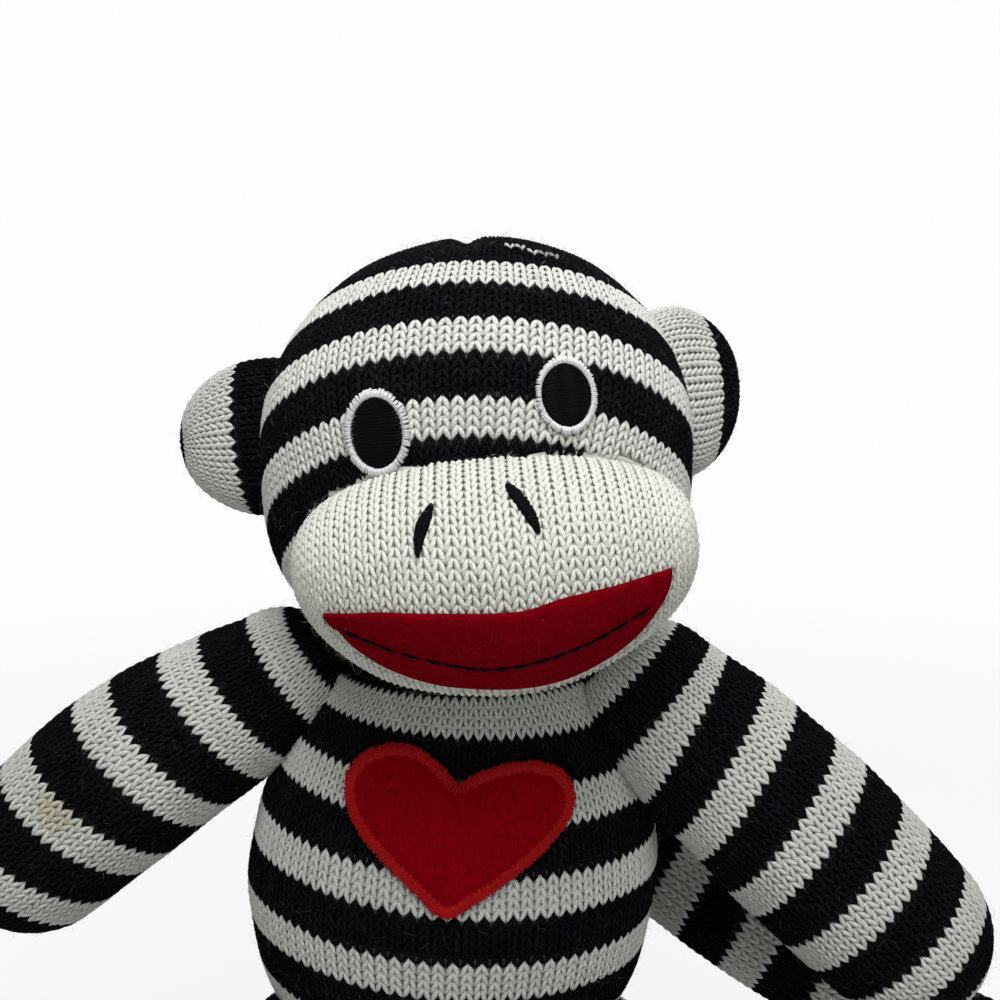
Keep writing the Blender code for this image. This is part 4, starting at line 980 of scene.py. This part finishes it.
white_silk = thread_finish("white_silk", (0.80, 0.81, 0.81), 0.45, 0.3)
black_silk = thread_finish("black_silk", (0.002, 0.002, 0.003), 0.7, 0.05)
head_front = Front(head_cloth)
RING_STITCHES, PUPIL_STITCHES, TUCK = 104, 34, 0.15 * MM
for side, tilt, ring_size, pupil_size, seed in (
    ("right", 5, (7.5 * MM, 9.6 * MM), (5.95 * MM, 7.6 * MM), 51),
    ("left", 8, (6.7 * MM, 8.6 * MM), (5.6 * MM, 6.8 * MM), 52),
):
    centre = HEAD[[0, 2]] + np.array(EYES[side]) * (HEAD_WIDE, HEAD_HIGH)
    lean, draw = math.radians(tilt), np.random.default_rng(seed)

    def oval(angle, half_x, half_z):
        across, up = half_x * math.cos(angle), half_z * math.sin(angle)
        return (centre[0] + across * math.cos(lean) - up * math.sin(lean),
                centre[1] + across * math.sin(lean) + up * math.cos(lean))

    ring = []
    for angle in [2 * math.pi * i / RING_STITCHES for i in range(RING_STITCHES)]:
        spread = 0.4 * MM * draw.random() - 0.2 * MM
        outer = oval(angle + 0.02 * draw.standard_normal(), ring_size[0] + spread, ring_size[1] + spread)
        ring.append((oval(angle, pupil_size[0] - TUCK, pupil_size[1] - TUCK), outer, 0.52 * MM, SATIN_THICK))
    embroidered("eye_ring_" + side, "head", head_front, ring, 0.25 * MM, white_silk, seed)
    pupil = []
    for up in [-1 + 2 * (i + 0.5) / PUPIL_STITCHES for i in range(PUPIL_STITCHES)]:
        reach = math.sqrt(1 - up * up)
        begin, end = (oval(math.atan2(up, part * reach), *pupil_size) for part in (-1, 1))
        pupil.append((begin, end, 0.62 * MM, 0.8 * MM))
    embroidered("eye_pupil_" + side, "head", head_front, pupil, 0.15 * MM, black_silk, seed + 10,
                0.03)

# Mouth: one piece of crimson felt, glued and stitched low on the muzzle, with a smile sewn through it.
# The black smile stitches pull the felt in, so they lie in a soft groove, and its cut edge is hairy.
FELT, GROOVE_WIDE, MOUTH_ROWS, MOUTH_COLUMNS = 1.1 * MM, 1.1 * MM, 24, 120
MOUTH_LOW, MOUTH_HIGH = 0.2 * MM, 0.2 * MM + FELT
muzzle_front = Front(muzzle_cloth)


def felt_finish(name, stretch, deep, bright):
    made, shader, start = finish_named(name, Roughness=1.0, Specular_IOR_Level=0.03)
    spot = start.spot()
    drawn = start.vector("MULTIPLY", spot, stretch)
    fibre = start.grain(drawn, 1.0, 5.0, Roughness=0.7, Distortion=0.6)
    lint = start.grain(drawn, 1.7, 2.0, Distortion=1.5)
    lint_share = ((lint - 0.66) * 7.0).at_least(0.0).at_most(0.55)
    base = (fibre * 1.6 - 0.4 + start.grain(spot, 90.0) * 0.3).mixed(deep, bright)
    feed(shader, "Base Color", (lint_share * 0.5).mixed(base, (0.40, 0.06, 0.06)))
    relief(shader, fibre, 0.7, 0.4 * MM)
    return made


def felt_mesh(name, front, grid, low, high, groove):
    """Felt between two lifts off a front: places in rows and columns, rounded edges and a groove."""
    rows, columns = grid.shape[:2]
    verts, faces = [], []
    for top in (True, False):
        for r in range(rows):
            for c in range(columns):
                height = low
                if top:
                    edge = min(r, rows - 1 - r, c, columns - 1 - c)
                    near = length(groove - grid[r, c]).min()
                    height += (high - low) * (0.45, 0.85, 1.0)[min(edge, 2)]
                    height -= 0.75 * (high - low) * math.exp(-(near / GROOVE_WIDE) ** 2)
                verts.append(tuple(front.spot(*grid[r, c], height)[0]))
    half = rows * columns
    for r in range(rows - 1):
        for a in range(r * columns, r * columns + columns - 1):
            faces.append((a, a + 1, a + columns + 1, a + columns))
            faces.append(tuple(half + v for v in (a + columns, a + columns + 1, a + 1, a)))
    rim = list(range(columns)) + [r * columns + columns - 1 for r in range(1, rows)]
    rim += [(rows - 1) * columns + c for c in range(columns - 2, -1, -1)]
    rim += [r * columns for r in range(rows - 2, 0, -1)]
    faces += [(b, a, half + a, half + b) for a, b in zip(rim, rim[1:] + rim[:1])]
    return new_mesh(name, verts, faces)


def felt_piece(name, body, front, mesh, spots, lift, draw, material, seed):
    """A felt patch, turned outwards, with fibres that stand off its face and its cut edge."""
    shape = bmesh.new()
    shape.from_mesh(mesh)
    bmesh.ops.remove_doubles(shape, verts=shape.verts, dist=0.001 * MM)
    bmesh.ops.recalc_face_normals(shape, faces=shape.faces)
    shape.to_mesh(mesh)
    shape.free()
    mesh.materials.append(material)
    rows = []
    for place in spots:
        at, facing = front.spot(*place, lift)
        rows.append((at, facing, (draw.standard_normal(), 0.1, draw.standard_normal()), (1, 1, 1)))
    places = [np.array(values) for values in zip(*rows)]
    finish_piece(sew(name, places, felt_fibre, material, 0.3, seed, mesh), body, name)


felt_fibre = fibre_mesh("felt_fibre", 1.3 * MM, 0.04 * MM)
# The mouth's felt is the heart's crimson felt made darker. This is painted shade on felt that faces forward
# and down under the muzzle, with the felt's own fibre grain and lint.
mouth_red_painted_shade = felt_finish("mouth_felt_red", (900.0, 900.0, 900.0), (0.075, 0.0, 0.002), (0.24, 0.0, 0.006))
SMILE = ((-0.70, -0.30), (-0.57, -0.40), (-0.41, -0.51), (-0.14, -0.655), (0.0, -0.68), (0.13, -0.66),
         (0.26, -0.615), (0.39, -0.55), (0.53, -0.45), (0.66, -0.36))
smile = smooth_run(on_muzzle(SMILE), 12)
columns = np.sin(np.linspace(-math.pi / 2, math.pi / 2, MOUTH_COLUMNS)) * 0.5 + 0.5
span = lip[0][0] + (lip[-1][0] - lip[0][0]) * (columns * 0.5 + np.linspace(0, 1, MOUTH_COLUMNS) * 0.5)
upper, lower = mouth_edges(span)
heights = upper + (lower - upper) * np.linspace(0, 1, MOUTH_ROWS)[:, None]
mouth_grid = np.stack([np.broadcast_to(span, heights.shape), heights], 2)
mouth_sheet = felt_mesh("mouth_felt_sheet", muzzle_front, mouth_grid, MOUTH_LOW, MOUTH_HIGH, smile)
draw, hairs = np.random.default_rng(61), 420
inner, edge = mouth_grid[1:-1, 1:-1].reshape(-1, 2), np.vstack([lip, chin])
hair_spots = np.vstack([places[draw.integers(0, len(places), hairs)] for places in (inner, edge)])
felt_piece("mouth_felt", "head", muzzle_front, mouth_sheet, hair_spots, MOUTH_HIGH * 0.8, draw, mouth_red_painted_shade, 61)
draw = np.random.default_rng(62)
smile_length, smile_paths = run_along(smile)[-1], []
place, shares = 0.0, np.linspace(0, 1, 9)
while place < smile_length - 2 * MM:
    stitch = (3.2 + 2.2 * draw.random()) * MM
    spots = read_along(smile, np.minimum(place + stitch * shares, smile_length))
    smile_paths.append([
        muzzle_front.spot(x, z, MOUTH_LOW + FELT * (0.12 + 0.32 * math.sin(math.pi * share)))[0]
        for (x, z), share in zip(spots, shares)])
    place += stitch * (0.80 if draw.random() < 0.75 else 1.05)
smile_sizes = [0.46 * MM * (0.35 + 0.65 * math.sin(math.pi * min(max(share, 0.06), 0.94))) for share in shares]
finish_piece(laid_thread("mouth_stitch", smile_paths, [smile_sizes] * len(smile_paths), black_silk), "head",
             "mouth_stitch")

# Nostrils: two leaf-shaped bars of black satin stitch, worked across their length through the muzzle.
# Muzzle fibres lie over their ends.
for seed, side, shares in (
    (71, "right", ((-0.245, 0.65), (-0.28, 0.54), (-0.305, 0.42), (-0.315, 0.29))),
    (72, "left", ((0.095, 0.74), (0.145, 0.63), (0.185, 0.51), (0.21, 0.385))),
):
    line = smooth_run(on_muzzle(shares), 9)
    stitches = []
    for i, (place, way) in enumerate(zip(line, unit(np.gradient(line, axis=0)))):
        share = i / (len(line) - 1)
        half = (0.35 + 0.95 * math.sin(math.pi * share ** 0.8) ** 0.8) * MM
        across = (np.array((way[1], -way[0])) + way * 0.35) * half
        stitches.append((place - across, place + across, 0.75 * MM, SATIN_THICK))
    embroidered(
        "nostril_" + side, "head", muzzle_front, stitches, 0.1 * MM, black_silk, seed, 0.12)

# Heart: a piece of the same crimson felt on the chest, held down by a border of brighter red satin stitch.
# The stitches run in from the cut edge, side by side, and sink the felt a little along their inner ends.
HEART_LOW, HEART_HAIRS, HEART_POINTS, BORDER_STITCHES = 0.45 * MM, 500, 200, 300
BORDER_SHARE, BORDER_SINKS = 0.855, 0.55 * MM
torso_front = Front(torso_cloth)
heart_length = run_along(heart_outline)[-1]
outline = read_along(heart_outline, np.arange(HEART_POINTS) / HEART_POINTS * heart_length)
middle = HEART + np.array((0, 0.05 * HEART_SIZE[1]))
heart_red = felt_finish("heart_felt_red", (1500.0, 1500.0, 420.0), (0.11, 0.0, 0.002), (0.36, 0.0, 0.007))
levels = [(share, HEART_LOW) for share in (0.3, 0.7, 0.975)] + [(0.985, HEART_LOW + FELT - 0.4 * MM)]
levels += [(share, HEART_LOW + FELT)
           for share in (0.96, 0.93, 0.9, 0.85, 0.78, 0.7, 0.6, 0.5, 0.4, 0.3, 0.2, 0.1)]
rings = []
for share, lift in levels:
    sunk = BORDER_SINKS * math.exp(-((share - BORDER_SHARE) / 0.04) ** 2) if lift > HEART_LOW else 0.0
    rings.append([torso_front.spot(*place, lift - sunk)[0] for place in middle + (outline - middle) * share])
draw = np.random.default_rng(81)
hair_spots = (middle + math.sqrt(draw.random()) * 0.85 * (outline[draw.integers(0, HEART_POINTS)] - middle)
              for _ in range(HEART_HAIRS))
heart_sheet = closed_mesh("heart_sheet", ((np.array(rings), True),))
felt_piece(
    "heart_felt", "torso", torso_front, heart_sheet, hair_spots, 0.4 * MM + FELT, draw, heart_red, 81)
heart_silk = thread_finish("heart_silk", (0.52, 0.010, 0.012), 0.6, 0.08)
stitch_spots = read_along(heart_outline, heart_length * np.arange(BORDER_STITCHES) / BORDER_STITCHES)
border = []
for place, ahead in zip(stitch_spots, np.roll(stitch_spots, -3, 0) - np.roll(stitch_spots, 3, 0)):
    inward = unit(np.array((-ahead[1], ahead[0])))
    inward = inward if inward @ (middle - place) > 0 else -inward
    lean = unit(inward + 0.15 * unit(ahead))
    border.append((place - lean * 0.5 * MM * draw.random(), place + lean * (2.6 + 0.4 * draw.random()) * MM,
                   0.52 * MM, SATIN_THICK))
embroidered(
    "heart_border", "torso", torso_front, border, 0.75 * MM + FELT * 0.6, heart_silk, 82, 0.09)


# Arms and legs: long knitted tubes, stuffed, rounded at the end and sewn on at the root.
# Each turns on a ball at its root that sits in the body, as the soft fold at the seam does.
def thickness(share, root, middle, tip):
    """A limb's radius at a share of its length, from its root by its middle to its tip."""
    return root + (tip - root) * share + (middle - (root + tip) / 2) * (1 - (2 * share - 1) ** 2)


def limb_cloth(pivot, aim, reach, root, middle, tip, bow, skew=(0, 0)):
    """A limb as rings from its root to its end, skewed as far as its stripes lean along it."""
    aim = Vector(aim).normalized()
    rise = np.array((Vector((0, 0, 1)) - aim * aim.z).normalized())
    side = aim.orthogonal().normalized()
    straight = reach - tip
    profile = [(-root * math.cos(a), root * math.sin(a)) for a in np.radians(np.arange(30, 90, 5))]
    profile += [(straight * share, thickness(share, root, middle, tip)) for share in np.arange(0, 1, 0.04)]
    profile += [(straight + tip * math.sin(a), tip * math.cos(a)) for a in np.radians(np.arange(0, 90, 4))]
    profile = np.array(profile)
    around = circle(72, side, aim.cross(side))
    rings = []
    for along, radius in profile:
        lean = np.interp(along / straight, (0, 1), skew)
        lean *= min(1, max(along, 0) / (12 * MM), (reach - along) / (10 * MM))
        reached = np.clip(along + lean * radius * (around @ rise), profile[0, 0], profile[-1, 0])[:, None]
        bowed = bow * np.sin(math.pi * np.clip(reached / straight, 0, 1))
        centre = np.array(pivot) + np.array(aim) * reached + rise * bowed
        rings.append(centre + around * np.interp(reached, profile[:, 0], profile[:, 1]))
    return Cloth(rings)


SEAM_ANGLE, THREAD, RIM_INSET, WHIP_SPACING = math.radians(30), 0.6 * MM, 0.9 * MM, 0.42 * MM


def limb(part, body, cloth, wales, course, phase, around, seed, pivot, aim, root, fibres=0.6):
    """A stuffed limb on its cloth, with the thread that gathers its open end, just inside its rim."""
    name, _, side = part.partition("_")
    side = side and "_" + side
    rows = striped_rows(cloth, phase, wales, course)
    knitted(name + "_knit" + side, body, cloth, rows, name + "_skin" + side, around, seed, fibres=fibres)
    stuffing(cloth, name + "_stuffing" + side, body)
    centre = Vector(pivot) - Vector(aim).normalized() * (root * math.cos(SEAM_ANGLE) - 2 * THREAD)
    radius = root * math.sin(SEAM_ANGLE) - RIM_INSET
    whipped_ring(name + "_seam_thread" + side, body, centre, aim, radius, round(radius / WHIP_SPACING))


for seed, side, course, phase, skew in (
    (21, "right", 2.5 * MM, 17.6 * MM, (0, 0.36)), (22, "left", 2.29 * MM, 12.7 * MM, (-0.3, 0)),
):
    cloth = settled(limb_cloth(*ARMS[side], skew))
    limb("arm_" + side, "arm_" + side, cloth, 46, course, phase, 48, seed, *ARMS[side][:2], ARMS[side][3])
for seed, (side, leg) in enumerate(LEGS.items(), 31):
    cloth = settled(limb_cloth(*leg), floor=True)
    limb("leg_" + side, "leg_" + side, cloth, 40, 2.4 * MM, 0, 48, seed, *leg[:2], leg[3], fibres=0.3)

# Tail: a thinner knitted tube, sewn low on the back and curled forward past the doll's left side.
# It is stuffed lightly and lies on the floor from its middle to its rounded end.
line = smooth_run(TAIL_RUN, 6)
first, last = unit(line[1] - line[0]), unit(line[-1] - line[-2])
spots = [(line[0] - first * TAIL_ROOT * math.cos(a), TAIL_ROOT * math.sin(a), first)
         for a in np.radians(np.arange(30, 90, 8))]
for i, point in enumerate(line):
    ahead = unit(line[min(i + 1, len(line) - 1)] - line[max(i - 1, 0)])
    spots.append((point, thickness(i / (len(line) - 1), TAIL_ROOT, TAIL_MIDDLE, TAIL_TIP), ahead))
spots += [(line[-1] + last * TAIL_TIP * math.sin(a), TAIL_TIP * math.cos(a), last)
          for a in np.radians(np.arange(6, 89, 6))]
side, rings = np.array((0, 0, 1.0)), []
for point, radius, ahead in spots:
    side = unit(side - ahead * (side @ ahead))
    rings.append(point + circle(48, side, np.cross(ahead, side)) * radius)
limb("tail", "tail", settled(Cloth(rings), floor=True), 30, 2.7 * MM, 0, 32, 41, TAIL_RUN[0], first, TAIL_ROOT)
